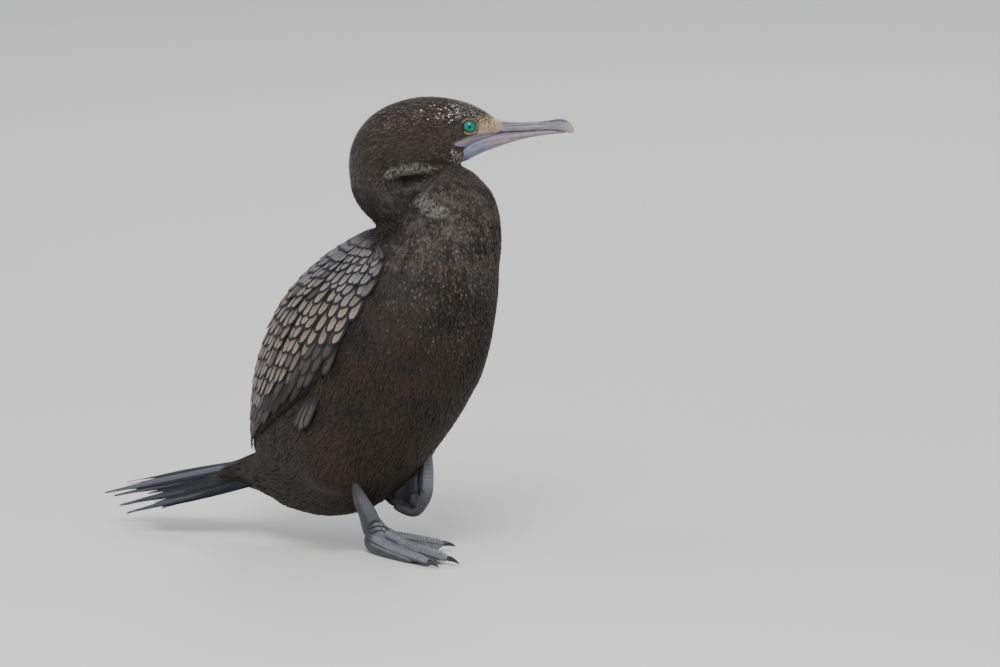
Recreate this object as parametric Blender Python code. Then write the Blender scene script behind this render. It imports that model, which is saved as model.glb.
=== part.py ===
"""A life-size model of a little black cormorant, standing on its right foot with its neck folded.

Everything is laid out in the bird's own frame, in metres: +X ahead, +Y to the bird's left, +Z up,
the body's midplane at y = 0 and the floor at z = 0. The empty named bird_origin then carries the
whole bird, so that the world's origin is under the middle of the foot that it stands on.
"""

import math
import random

import bmesh
import bpy
import numpy as np
from mathutils import Matrix, Vector

# General sizes
GAP = 0.0003
SWELL = 0.00036
WELD = 0.0000015
SOLE_CENTRE = Vector((-0.0049, -0.0087, 0.0))
HEAD_TURN = math.radians(38)

# Torso: height, middle ahead, reach ahead, reach behind, half width
TORSO = (
    (0.0180, -0.084, 0.014, 0.018, 0.012),
    (0.0255, -0.081, 0.036, 0.040, 0.025),
    (0.0390, -0.076, 0.0475, 0.056, 0.037),
    (0.0650, -0.068, 0.0655, 0.066, 0.050),
    (0.1000, -0.053, 0.0775, 0.076, 0.058),
    (0.1340, -0.042, 0.083, 0.078, 0.059),
    (0.1690, -0.028, 0.077, 0.072, 0.056),
    (0.1930, -0.013, 0.064, 0.062, 0.051),
    (0.2080, -0.006, 0.052, 0.048, 0.043),
    (0.2180, -0.002, 0.041, 0.038, 0.033),
    (0.2240, 0.002, 0.028, 0.026, 0.022),
)
TORSO_BOTTOM = Vector((-0.084, 0.0, 0.0158))
TORSO_TOP = Vector((0.004, 0.0, 0.2270))
TORSO_SIDES = 28
TORSO_RINGS = 22

# Lower neck, a dome over the breast: height, middle ahead, middle left, reach, half width
NECK_LOWER = (
    (0.1890, -0.008, 0.000, 0.058, 0.048),
    (0.2070, 0.005, 0.003, 0.047, 0.042),
    (0.2210, 0.012, 0.006, 0.038, 0.037),
    (0.2340, 0.014, 0.008, 0.033, 0.033),
    (0.2460, 0.014, 0.009, 0.0275, 0.0275),
    (0.2555, 0.014, 0.009, 0.019, 0.019),
    (0.2605, 0.014, 0.009, 0.010, 0.010),
)
NECK_LOWER_FOOT = Vector((-0.008, 0.0, 0.1830))
NECK_LOWER_TOP = Vector((0.014, 0.009, 0.2620))

# Upper neck, the loop behind: ahead, left, height, radius across, radius in the loop's plane
NECK_UPPER = (
    (0.004, 0.004, 0.2389, 0.0170, 0.0180),
    (-0.010, -0.003, 0.2362, 0.0175, 0.0180),
    (-0.023, -0.010, 0.2376, 0.0180, 0.0180),
    (-0.031, -0.014, 0.2476, 0.0180, 0.0175),
    (-0.032, -0.014, 0.2620, 0.0178, 0.0175),
    (-0.025, -0.010, 0.2730, 0.0175, 0.0175),
    (-0.014, -0.003, 0.2810, 0.0170, 0.0180),
)

# Head: place along the head, height of its top, height of its bottom, half width
HEAD_DEPTH = -0.018
HEAD_ORIGIN = Vector((0.0, -0.015, 0.0))
HEAD = (
    (-0.0385, 0.2770, 0.2630, 0.0070),
    (-0.0340, 0.2860, 0.2560, 0.0120),
    (-0.0260, 0.2950, 0.2530, 0.0158),
    (-0.0160, 0.3015, 0.2530, 0.0176),
    (-0.0050, 0.3055, 0.2540, 0.0184),
    (0.0070, 0.3076, 0.2555, 0.0186),
    (0.0180, 0.3073, 0.2575, 0.0180),
    (0.0270, 0.3058, 0.2610, 0.0165),
    (0.0340, 0.3038, 0.2670, 0.0150),
    (0.0400, 0.3015, 0.2730, 0.0133),
    (0.0470, 0.2980, 0.2768, 0.0108),
    (0.0535, 0.2938, 0.2798, 0.0083),
    (0.0590, 0.2905, 0.2816, 0.0065),
)
HEAD_BACK = (-0.0410, 0.2710)

# Bill: place along the head, top, bottom, half width
UPPER_BILL = (
    (0.0594, 0.2902, 0.2830, 0.0058),
    (0.0650, 0.2897, 0.2833, 0.0052),
    (0.0740, 0.2898, 0.2836, 0.0043),
    (0.0840, 0.2902, 0.2841, 0.0036),
    (0.0920, 0.2909, 0.2846, 0.0033),
    (0.0985, 0.2914, 0.2845, 0.0033),
    (0.1030, 0.2906, 0.2836, 0.0029),
    (0.1060, 0.2888, 0.2822, 0.0021),
    (0.1076, 0.2864, 0.2816, 0.0012),
)
UPPER_BILL_TIP = (0.1082, 0.2830)
LOWER_BILL = (
    (0.0300, 0.2745, 0.2655, 0.0118),
    (0.0360, 0.2770, 0.2662, 0.0120),
    (0.0420, 0.2786, 0.2680, 0.0108),
    (0.0500, 0.2806, 0.2706, 0.0085),
    (0.0600, 0.2824, 0.2733, 0.0062),
    (0.0700, 0.2829, 0.2760, 0.0048),
    (0.0820, 0.2834, 0.2787, 0.0036),
    (0.0920, 0.2838, 0.2808, 0.0028),
    (0.0985, 0.2838, 0.2820, 0.0018),
)
LOWER_BILL_TIP = (0.1005, 0.2830)
MOUTH_BACK = (0.0290, 0.2752)
NASAL_GROOVE_DEPTH = 0.0009
NASAL_GROOVE_WIDTH = 0.0008

# Eyes
EYE_ALONG, EYE_HEIGHT = 0.0386, 0.2898
EYE_RADIUS = 0.0052
EYE_SIDE = 0.0108
LID_RADIUS, LID_THICKNESS = 0.0052, 0.0011

# Where the flesh is parted: a point and the way that the cut faces
CUTS = {
    "head": (Vector((-0.005, 0.0, 0.2535)), Vector((-0.16, 0.0, 1.0))),
    "loop": (Vector((-0.012, 0.0, 0.2380)), Vector((-1.0, -0.55, 0.15))),
    "neck": (Vector((0.0, 0.0, 0.2064)), Vector((0.17, 0.0, 1.0))),
    "rump": (Vector((-0.128, 0.0, 0.0480)), Vector((-1.0, -0.22, -0.25))),
}

# Rump and tail coverts: ahead, left, height, half width, half height
RUMP = (
    (-0.098, 0.000, 0.0590, 0.036, 0.036),
    (-0.114, -0.002, 0.0510, 0.030, 0.028),
    (-0.128, -0.004, 0.0455, 0.0235, 0.019),
    (-0.141, -0.007, 0.0434, 0.0180, 0.0140),
    (-0.152, -0.010, 0.0416, 0.0150, 0.0110),
)
RUMP_START = Vector((-0.088, 0.0, 0.0630))
RUMP_END = Vector((-0.1575, -0.0115, 0.0409))

# Tail
TAIL_ROOT = Vector((-0.1450, -0.0085, 0.0461))
TAIL_YAW, TAIL_DROOP, TAIL_ROLL = math.radians(18), math.radians(14), math.radians(-20)
TAIL_COUNT = 12
TAIL_LENGTH, TAIL_SHORTENING = 0.1020, 0.0034
TAIL_FAN, TAIL_STEP, TAIL_STACK = math.radians(0.9), 0.0022, 0.0008
TAIL_VANE_WIDTH, TAIL_VANE_THICKNESS, TAIL_RIDGE = 0.0100, 0.0011, 0.0004

# Folded wing: height of its edge, angle of that edge round the torso from straight ahead
WING_EDGE = (
    (0.2130, 118.0),
    (0.2075, 84.0),
    (0.1930, 73.0),
    (0.1730, 71.5),
    (0.1530, 74.5),
    (0.1310, 82.0),
    (0.1120, 92.0),
    (0.0930, 110.0),
    (0.0770, 130.0),
    (0.0570, 156.0),
)
WING_TOP, WING_BOTTOM = 0.2150, 0.0550
WING_BACK = 176.0
WING_THICKNESS, WING_SINK = 0.0042, 0.0035
WING_ROWS, WING_COLUMNS = 13, 8

# Covered wing: each tier's place down the wing, vanes, length, width, and how proud its tips stand
TIERS = (
    (0.030, 4, 0.026, 0.0140, 0.0012),
    (0.135, 5, 0.030, 0.0145, 0.0013),
    (0.250, 5, 0.034, 0.0150, 0.0014),
    (0.365, 6, 0.038, 0.0145, 0.0015),
    (0.490, 6, 0.044, 0.0130, 0.0016),
)
QUILLS = 6
VANE_THICKNESS, VANE_TILT = 0.0009, 0.0003

# Thighs: middle, reaches, lean
THIGH_RIGHT = (Vector((-0.053, -0.040, 0.0774)), Vector((0.027, 0.021, 0.040)), math.radians(-24))
THIGH_LEFT = (Vector((-0.0510, 0.0400, 0.0740)), Vector((0.027, 0.021, 0.036)), math.radians(-24))

# Right leg: ahead, left, height, half depth, half width
TARSUS_RIGHT = (
    (-0.0316, -0.0352, 0.0534, 0.0040, 0.0036),
    (-0.0326, -0.0307, 0.0470, 0.0044, 0.0038),
    (-0.0356, -0.0217, 0.0365, 0.0052, 0.0042),
    (-0.0386, -0.0136, 0.0265, 0.0056, 0.0046),
    (-0.0400, -0.0085, 0.0190, 0.0060, 0.0052),
)
ANKLE_CUT = 0.0165

# Toes of the right foot: ahead, left, height, radius
TOES_RIGHT = {
    "outer": (
        (-0.0399, -0.0077, 0.0125, 0.0054),
        (-0.0299, -0.0132, 0.0085, 0.0050),
        (-0.0079, -0.0202, 0.0052, 0.0041),
        (0.0111, -0.0252, 0.0040, 0.0038),
        (0.0266, -0.0282, 0.0030, 0.0031),
    ),
    "middle": (
        (-0.0399, -0.0057, 0.0130, 0.0056),
        (-0.0289, -0.0072, 0.0100, 0.0053),
        (-0.0069, -0.0102, 0.0068, 0.0043),
        (0.0151, -0.0127, 0.0048, 0.0040),
        (0.0321, -0.0145, 0.0032, 0.0031),
    ),
    "inner": (
        (-0.0399, -0.0037, 0.0120, 0.0054),
        (-0.0329, 0.0033, 0.0082, 0.0048),
        (-0.0169, 0.0153, 0.0058, 0.0040),
        (-0.0034, 0.0243, 0.0040, 0.0032),
    ),
    "hind": (
        (-0.0404, -0.0032, 0.0100, 0.0050),
        (-0.0474, 0.0073, 0.0062, 0.0040),
        (-0.0514, 0.0173, 0.0042, 0.0033),
        (-0.0539, 0.0258, 0.0028, 0.0026),
    ),
}
HEEL = (Vector((-0.0399, -0.0057, 0.0078)), Vector((0.0058, 0.0062, 0.0100)))
WEB_THICKNESS = 0.0011
WEB_SLACK = 0.16

# Left foot, lifted and closed: the middle toe's path, and how the others lie beside it
TARSUS_LEFT = (
    (-0.0260, 0.0280, 0.0714, 0.0040, 0.0040),
    (-0.0190, 0.0235, 0.0634, 0.0042, 0.0042),
    (-0.0155, 0.0200, 0.0544, 0.0044, 0.0043),
    (-0.0150, 0.0190, 0.0454, 0.0048, 0.0046),
)
JOINT_CUT = 0.0449
TOE_LEFT = (
    (-0.0151, 0.0190, 0.0474, 0.0044),
    (-0.0148, 0.0190, 0.0404, 0.0039),
    (-0.0172, 0.0181, 0.0324, 0.0037),
    (-0.0230, 0.0170, 0.0266, 0.0036),
    (-0.0290, 0.0158, 0.0262, 0.0031),
    (-0.0330, 0.0145, 0.0276, 0.0026),
)
TOES_LEFT = {"outer": (0.0, 1.0, 13), "middle": (0.0060, 0.94, 12), "inner": (0.0117, 0.87, 11)}
TOE_ROW_LEFT = Vector((-0.616, 0.788, -0.18))

# Claws
CLAW_LENGTH, CLAW_RADIUS = 0.0078, 0.0019

COLOURS = {
    "plumage": ((0.020, 0.017, 0.014), 0.62),
    "neck_plumage": ((0.028, 0.023, 0.019), 0.65),
    "wing_plumage": ((0.055, 0.048, 0.044), 0.55),
    "tail_vane": ((0.020, 0.022, 0.027), 0.5),
    "bill_horn": ((0.16, 0.15, 0.17), 0.35),
    "gular_skin": ((0.20, 0.21, 0.30), 0.45),
    "iris": ((0.0, 0.22, 0.17), 0.1),
    "leg_skin": ((0.050, 0.052, 0.062), 0.45),
    "claw_horn": ((0.012, 0.012, 0.014), 0.35),
}


# Scene and materials
def clear_scene():
    for obj in list(bpy.data.objects):
        bpy.data.objects.remove(obj, do_unlink=True)


def make_materials():
    made = {}
    for name, (colour, roughness) in COLOURS.items():
        material = bpy.data.materials.new(name)
        material.use_nodes = True
        shader = material.node_tree.nodes["Principled BSDF"]
        shader.inputs["Base Color"].default_value = (*colour, 1.0)
        shader.inputs["Roughness"].default_value = roughness
        shader.inputs["Metallic"].default_value = 0.0
        made[name] = material
    return made


# Curves and sections
def smooth_rows(table, count):
    """The rows of a table joined by one smooth curve, read at evenly spaced places along it."""
    rows = np.array(table, float)
    padded = np.vstack([2 * rows[0] - rows[1], rows, 2 * rows[-1] - rows[-2]])
    found = []
    for at in np.linspace(0, len(rows) - 1, count):
        first = min(int(at), len(rows) - 2)
        t = at - first
        a, b, c, d = padded[first:first + 4]
        curve = 2 * b + (c - a) * t + (2 * a - 5 * b + 4 * c - d) * t**2
        found.append(0.5 * (curve + (3 * b - a - 3 * c + d) * t**3))
    return found


def row_at(table, place):
    """The row of a table whose first value is place, read on the same smooth curve."""
    keys = [row[0] for row in table]
    if keys[0] > keys[-1]:
        table, keys = table[::-1], keys[::-1]
    place = min(max(place, keys[0]), keys[-1])
    return [float(np.interp(place, keys, [row[k] for row in table])) for k in range(len(table[0]))]


def ring(middle, first, second, ahead, behind, half, sides):
    """One closed section: it reaches ahead and behind along first, and half either way along second."""
    points = []
    for k in range(sides):
        angle = 2 * math.pi * k / sides
        reach = ahead if math.cos(angle) > 0 else behind
        points.append(middle + first * reach * math.cos(angle) + second * half * math.sin(angle))
    return points


def loft(name, rings, start, end):
    """A closed solid through the rings, which ends in the points start and end."""
    mesh = bpy.data.meshes.new(name)
    form = bmesh.new()
    rows = [[form.verts.new(point) for point in points] for points in rings]
    sides = len(rows[0])
    for low, high in zip(rows, rows[1:]):
        for k in range(sides):
            form.faces.new((low[k], low[(k + 1) % sides], high[(k + 1) % sides], high[k]))
    for row, point in ((rows[0], start), (rows[-1], end)):
        pole = form.verts.new(point)
        for k in range(sides):
            form.faces.new((row[k], row[(k + 1) % sides], pole))
    bmesh.ops.recalc_face_normals(form, faces=form.faces)
    form.to_mesh(mesh)
    form.free()
    obj = bpy.data.objects.new(name, mesh)
    bpy.context.scene.collection.objects.link(obj)
    return obj


def tube(name, table, count, sides, up=Vector((0, 0, 1)), start=None, end=None):
    """A loft along a path. A row holds the path's point, then its half depth and half width."""
    rows = smooth_rows(table, count)
    points = [Vector(row[:3]) for row in rows]
    rings = []
    for k, row in enumerate(rows):
        along = (points[min(k + 1, count - 1)] - points[max(k - 1, 0)]).normalized()
        across = up.cross(along).normalized()
        lift = along.cross(across)
        depth, width = row[3], row[-1]
        rings.append(ring(points[k], lift, across, depth, depth, width, sides))
    first, last = (points[0] - points[1]).normalized(), (points[-1] - points[-2]).normalized()
    start = points[0] + first * rows[0][3] * 0.5 if start is None else start
    end = points[-1] + last * rows[-1][3] * 0.7 if end is None else end
    return loft(name, rings, start, end)


# Joining and cutting
def combine(obj, others, operation, solvers=("EXACT", "MANIFOLD")):
    """Joins obj with others, cuts it by them or keeps what they share, and removes others."""
    pieces = bpy.data.collections.new("pieces_of_" + obj.name)
    for other in others:
        for holder in list(other.users_collection):
            holder.objects.unlink(other)
        pieces.objects.link(other)
    bpy.context.scene.collection.children.link(pieces)
    modifier = obj.modifiers.new("join", "BOOLEAN")
    modifier.operation = operation
    modifier.operand_type = "COLLECTION"
    modifier.collection = pieces
    for solver in solvers:
        modifier.solver = solver
        bpy.context.view_layer.update()
        graph = bpy.context.evaluated_depsgraph_get()
        mesh = bpy.data.meshes.new_from_object(obj.evaluated_get(graph))
        if largest_surface(mesh):
            break
    obj.modifiers.clear()
    obj.data = mesh
    for other in others:
        bpy.data.objects.remove(other, do_unlink=True)
    bpy.data.collections.remove(pieces)
    return obj


def largest_surface(mesh):
    """Leaves only the closed surface of mesh that encloses most, and tells whether it is sound."""
    if not mesh.polygons:
        return False
    form = bmesh.new()
    form.from_mesh(mesh)
    bmesh.ops.triangulate(form, faces=form.faces)
    bmesh.ops.dissolve_degenerate(form, edges=form.edges, dist=WELD)
    form.faces.ensure_lookup_table()
    islands, seen = [], set()
    for face in form.faces:
        if face.index in seen:
            continue
        island, reached = [], [face]
        seen.add(face.index)
        while reached:
            here = reached.pop()
            island.append(here)
            for edge in here.edges:
                for other in edge.link_faces:
                    if other.index not in seen:
                        seen.add(other.index)
                        reached.append(other)
        islands.append(island)

    def enclosed(island):
        return sum(f.verts[0].co.dot(f.verts[1].co.cross(f.verts[2].co)) for f in island) / 6

    best = max(islands, key=enclosed)
    loose = [face for island in islands if island is not best for face in island]
    bmesh.ops.delete(form, geom=loose, context="FACES")
    bmesh.ops.triangulate(form, faces=form.faces)
    sound = len(form.faces) > 0 and all(edge.is_manifold for edge in form.edges)
    form.to_mesh(mesh)
    form.free()
    return sound


def copy_of(obj, name):
    twin = obj.copy()
    twin.data = obj.data.copy()
    twin.name = name
    bpy.context.scene.collection.objects.link(twin)
    return twin


def swollen(obj, name, by=SWELL):
    """A copy of obj whose skin stands out by the gap that touching pieces keep."""
    twin = copy_of(obj, name)
    form = bmesh.new()
    form.from_mesh(twin.data)
    moves = [vertex.normal * by for vertex in form.verts]
    for vertex, move in zip(form.verts, moves):
        vertex.co += move
    form.to_mesh(twin.data)
    form.free()
    return twin


def half_space(name, point, facing, size=0.8):
    """A block that fills the side of a plane that facing points to, less half a gap."""
    form = bmesh.new()
    bmesh.ops.create_cube(form, size=size)
    facing = facing.normalized()
    turn = facing.to_track_quat("Z", "Y").to_matrix().to_4x4()
    place = Matrix.Translation(point + facing * (size / 2 + GAP / 2))
    bmesh.ops.transform(form, matrix=place @ turn, verts=form.verts)
    mesh = bpy.data.meshes.new(name)
    form.to_mesh(mesh)
    form.free()
    obj = bpy.data.objects.new(name, mesh)
    bpy.context.scene.collection.objects.link(obj)
    return obj


def part_of(whole, name, sides):
    """The piece of whole that lies on the stated side of each cut."""
    piece = copy_of(whole, name)
    for cut, sign in sides:
        point, facing = CUTS[cut]
        combine(piece, [half_space("cut", point, facing * sign)], "INTERSECT")
    return piece


# Head frame
def head_point(along, side, height):
    """A point of the head: along is its distance to the right in the head's side view."""
    ahead = Vector((math.cos(HEAD_TURN), math.sin(HEAD_TURN), 0))
    left = Vector((-math.sin(HEAD_TURN), math.cos(HEAD_TURN), 0))
    return HEAD_ORIGIN + ahead * along + left * (side - HEAD_DEPTH) + Vector((0, 0, height))


def head_loft(name, table, count, sides, start, end):
    left = Vector((-math.sin(HEAD_TURN), math.cos(HEAD_TURN), 0))
    up = Vector((0, 0, 1))
    rings = []
    for along, top, bottom, half in smooth_rows(table, count):
        middle = head_point(along, 0, (top + bottom) / 2)
        rings.append(ring(middle, up, left, (top - bottom) / 2, (top - bottom) / 2, half, sides))
    return loft(name, rings, head_point(start[0], 0, start[1]), head_point(end[0], 0, end[1]))


# Flesh
def torso_section(height):
    _, middle, ahead, behind, half = row_at(TORSO, height)
    return middle, ahead, behind, half


def make_torso(name):
    rings = []
    for height, middle, ahead, behind, half in smooth_rows(TORSO, TORSO_RINGS):
        centre = Vector((middle, 0, height))
        rings.append(ring(centre, Vector((1, 0, 0)), Vector((0, 1, 0)), ahead, behind, half, TORSO_SIDES))
    return loft(name, rings, TORSO_BOTTOM, TORSO_TOP)


def make_neck_lower(name):
    rings = []
    for height, ahead, left, reach, half in smooth_rows(NECK_LOWER, 12):
        centre = Vector((ahead, left, height))
        rings.append(ring(centre, Vector((1, 0, 0)), Vector((0, 1, 0)), reach, reach, half, 22))
    return loft(name, rings, NECK_LOWER_FOOT, NECK_LOWER_TOP)


def make_neck_upper(name):
    return tube(name, NECK_UPPER, 15, 18, up=Vector((-0.50, 1.0, 0.05)))


def make_head(name):
    return head_loft(name, HEAD, 20, 20, HEAD_BACK, (HEAD[-1][0] + 0.0002, 0.2862))


def make_rump(name):
    return tube(name, [row[:3] + (row[4], row[3]) for row in RUMP], 10, 18, start=RUMP_START, end=RUMP_END)


def ellipsoid(name, middle, reach, lean):
    form = bmesh.new()
    bmesh.ops.create_uvsphere(form, u_segments=18, v_segments=12, radius=1.0)
    size = Matrix.Diagonal((*reach, 1.0))
    turn = Matrix.Rotation(lean, 4, "Y")
    bmesh.ops.transform(form, matrix=Matrix.Translation(middle) @ turn @ size, verts=form.verts)
    mesh = bpy.data.meshes.new(name)
    form.to_mesh(mesh)
    form.free()
    obj = bpy.data.objects.new(name, mesh)
    bpy.context.scene.collection.objects.link(obj)
    return obj


def make_flesh():
    """The whole body as one form, parted by thin flat cuts."""
    torso, rump = make_torso("torso_form"), make_rump("rump_form")
    neck_lower = make_neck_lower("neck_lower_form")
    parts = [rump, neck_lower, make_neck_upper("neck_upper_form"), make_head("head_form")]
    blocks = {
        "torso": swollen(torso, "torso_block"),
        "rump": swollen(rump, "rump_block"),
        "neck": swollen(neck_lower, "neck_block"),
    }
    whole = combine(torso, parts, "UNION")
    pieces = {
        "head": part_of(whole, "head", [("head", 1)]),
        "neck_upper": part_of(whole, "neck_upper", [("head", -1), ("neck", 1), ("loop", 1)]),
        "neck_lower": part_of(whole, "neck_lower", [("head", -1), ("neck", 1), ("loop", -1)]),
        "rump": part_of(whole, "rump", [("neck", -1), ("rump", 1)]),
        "torso": part_of(whole, "torso", [("neck", -1), ("rump", -1)]),
    }
    bpy.data.objects.remove(whole, do_unlink=True)
    return pieces, blocks


# Head details
def sphere(name, radius, segments=14):
    form = bmesh.new()
    bmesh.ops.create_uvsphere(form, u_segments=segments, v_segments=segments * 3 // 4, radius=radius)
    mesh = bpy.data.meshes.new(name)
    form.to_mesh(mesh)
    form.free()
    obj = bpy.data.objects.new(name, mesh)
    bpy.context.scene.collection.objects.link(obj)
    return obj


def placed(obj, point, turn=None):
    """Moves the mesh of obj to its place."""
    matrix = Matrix.Translation(point)
    obj.data.transform(matrix @ turn if turn is not None else matrix)
    return obj


def make_eyes(head):
    """Cuts both sockets, adds the ring of each lid and returns the eyes."""
    eyes = {}
    for side, name in ((-1, "eye_right"), (1, "eye_left")):
        centre = head_point(EYE_ALONG, side * EYE_SIDE, EYE_HEIGHT)
        outward = (head_point(0, side, 0) - head_point(0, 0, 0)).normalized()
        outward = (outward + Vector((math.cos(HEAD_TURN), math.sin(HEAD_TURN), 0)) * 0.28).normalized()
        bpy.ops.mesh.primitive_torus_add(
            major_radius=LID_RADIUS, minor_radius=LID_THICKNESS, major_segments=16, minor_segments=5
        )
        lid = bpy.context.active_object
        turn = outward.to_track_quat("Z", "Y").to_matrix().to_4x4()
        placed(lid, centre + outward * EYE_RADIUS * 0.46, turn)
        combine(head, [lid], "UNION")
        combine(head, [placed(sphere("socket", EYE_RADIUS + GAP), centre)], "DIFFERENCE")
        eyes[name] = placed(sphere(name, EYE_RADIUS), centre)
    return eyes


def make_bill(head):
    upper = head_loft("bill_upper", UPPER_BILL, 16, 14, (0.0592, 0.2866), UPPER_BILL_TIP)
    for side in (-1, 1):
        groove = [
            (*head_point(0.0605, side * 0.0062, 0.2877), NASAL_GROOVE_WIDTH, NASAL_GROOVE_DEPTH),
            (*head_point(0.0740, side * 0.0048, 0.2877), NASAL_GROOVE_WIDTH, NASAL_GROOVE_DEPTH),
            (*head_point(0.0870, side * 0.0041, 0.2883), NASAL_GROOVE_WIDTH, NASAL_GROOVE_DEPTH),
            (*head_point(0.0970, side * 0.0042, 0.2888), NASAL_GROOVE_WIDTH * 0.7, NASAL_GROOVE_DEPTH * 0.8),
        ]
        combine(upper, [tube("groove", groove, 6, 6)], "DIFFERENCE")
    lower = head_loft("bill_lower", LOWER_BILL, 18, 14, MOUTH_BACK, LOWER_BILL_TIP)
    swollen_upper = swollen(upper, "upper_block")
    combine(lower, [swollen_upper], "DIFFERENCE")
    combine(head, [swollen(lower, "jaw_block")], "DIFFERENCE")
    combine(head, [swollen(upper, "beak_block")], "DIFFERENCE")
    return upper, lower


# Wings
def wing_edge(height):
    return row_at(WING_EDGE, height)[1]


def wing_point(down, across, lift, side):
    """A point over the torso: down runs from shoulder to tip and across from the back to the front edge."""
    height = WING_TOP + (WING_BOTTOM - WING_TOP) * down
    middle, ahead, behind, half = torso_section(height)
    angle = math.radians(WING_BACK + (wing_edge(height) - WING_BACK) * across)
    reach = (ahead if math.cos(angle) > 0 else behind) + lift
    return Vector((middle + reach * math.cos(angle), side * (half + lift) * math.sin(angle), height))


def wing_frame(down, across, side):
    """The skin point there, the way down the wing, the way across it and the way out."""
    step = 0.01
    here = wing_point(down, across, 0, side)
    along = (wing_point(down + step, across, 0, side) - wing_point(down - step, across, 0, side)).normalized()
    over = wing_point(down, across + step, 0, side) - wing_point(down, across - step, 0, side)
    out = along.cross(over).normalized()
    if out.dot(here - Vector((torso_section(here.z)[0], 0, here.z))) < 0:
        out = -out
    return here, along, out.cross(along).normalized(), out


def wing_core(name, side):
    """The closed, lens-shaped body of the folded wing, sunk into the torso before that is cut away."""
    form = bmesh.new()
    outer, inner = [], []
    for row in range(WING_ROWS + 1):
        down = row / WING_ROWS
        outer.append([])
        inner.append([])
        for column in range(WING_COLUMNS + 1):
            across = column / WING_COLUMNS
            bulge = (1 - (2 * across - 1) ** 6) ** 0.5 if 0 < across < 1 else 0.0
            ends = min(1.0, (1 - down) * 9 + 0.25) * min(1.0, down * 10 + 0.3)
            lift = -0.0012 + (WING_THICKNESS + 0.0012) * bulge * ends
            outer[-1].append(form.verts.new(wing_point(down, across, lift, side)))
            inner[-1].append(form.verts.new(wing_point(down, across, -WING_SINK, side)))
    for sheet in (outer, inner):
        for r in range(WING_ROWS):
            for c in range(WING_COLUMNS):
                form.faces.new((sheet[r][c], sheet[r][c + 1], sheet[r + 1][c + 1], sheet[r + 1][c]))
    border = [(0, c) for c in range(WING_COLUMNS)] + [(r, WING_COLUMNS) for r in range(WING_ROWS)]
    border += [(WING_ROWS, c) for c in range(WING_COLUMNS, 0, -1)] + [(r, 0) for r in range(WING_ROWS, 0, -1)]
    for (r, c), (q, d) in zip(border, border[1:] + border[:1]):
        form.faces.new((outer[r][c], outer[q][d], inner[q][d], inner[r][c]))
    bmesh.ops.recalc_face_normals(form, faces=form.faces)
    mesh = bpy.data.meshes.new(name)
    form.to_mesh(mesh)
    form.free()
    obj = bpy.data.objects.new(name, mesh)
    bpy.context.scene.collection.objects.link(obj)
    return obj


def vane(name, frames, width, shape, lifts, thickness, ridge=0.0, tilt=0.0):
    """A closed flat feather. Each frame is a point, the way across and the way out; shape gives its width.

    With a ridge, the shaft stands that much proud of the vane, along its middle.
    """
    form = bmesh.new()
    places = (-1, 0, 1) if ridge else (-1, 1)
    last = len(places) - 1
    rows = []
    for (point, across, out), share, lift in zip(frames[:-1], shape, lifts):
        row = []
        for layer in (0, -thickness):
            for k in places if layer == 0 else reversed(places):
                rise = lift + layer + ridge * (1 - abs(k)) + tilt * k
                row.append(form.verts.new(point + across * k * width / 2 * share + out * rise))
        rows.append(row)
    point, _, out = frames[-1]
    high = form.verts.new(point + out * lifts[-1])
    low = form.verts.new(point + out * (lifts[-1] - thickness * 0.6))
    around = len(rows[0])
    for near, far in zip(rows, rows[1:]):
        for k in range(around):
            form.faces.new((near[k], near[(k + 1) % around], far[(k + 1) % around], far[k]))
    form.faces.new(rows[0])
    end = rows[-1]
    for k in range(last):
        form.faces.new((end[k], end[k + 1], high))
        form.faces.new((end[last + 1 + k], end[last + 2 + k], low))
    form.faces.new((end[last], end[last + 1], low, high))
    form.faces.new((end[-1], end[0], high, low))
    bmesh.ops.recalc_face_normals(form, faces=form.faces)
    mesh = bpy.data.meshes.new(name)
    form.to_mesh(mesh)
    form.free()
    obj = bpy.data.objects.new(name, mesh)
    bpy.context.scene.collection.objects.link(obj)
    return obj


def wing_vane(down, across, length, width, proud, side):
    """One feather that starts at a place on the wing and lies down it."""
    frames = []
    for at in (0.0, 0.45, 0.82, 1.0):
        place = min(down + at * length / (WING_TOP - WING_BOTTOM), 1.06)
        here, _, over, out = wing_frame(place, across, side)
        frames.append((here, over, out))
    lifts = [WING_THICKNESS + proud * share for share in (-1.6, 0.35, 0.85, 1.0)]
    return vane("vane", frames, width, (0.66, 1.0, 0.74), lifts, VANE_THICKNESS, tilt=VANE_TILT)


def make_wing(name, side, blocks):
    wing = wing_core(name, side)
    draw = random.Random(11 + side)
    vanes = []
    for tier, (down, count, length, width, proud) in enumerate(TIERS):
        for k in range(count):
            across = 0.06 + 0.88 * (k + 0.5 * (tier % 2) + 0.25) / count
            vanes.append(wing_vane(down + draw.uniform(-0.012, 0.012), min(across, 0.97),
                                   length * draw.uniform(0.94, 1.06), width, proud, side))
    for k in range(QUILLS):
        across = 0.16 + 0.70 * k / (QUILLS - 1)
        vanes.append(wing_vane(0.60 + 0.02 * k, across, 0.066 - 0.004 * k, 0.0100, 0.0018, side))
    combine(wing, vanes, "UNION")
    for block in blocks.values():
        combine(wing, [copy_of(block, "block")], "DIFFERENCE")
    return wing


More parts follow.
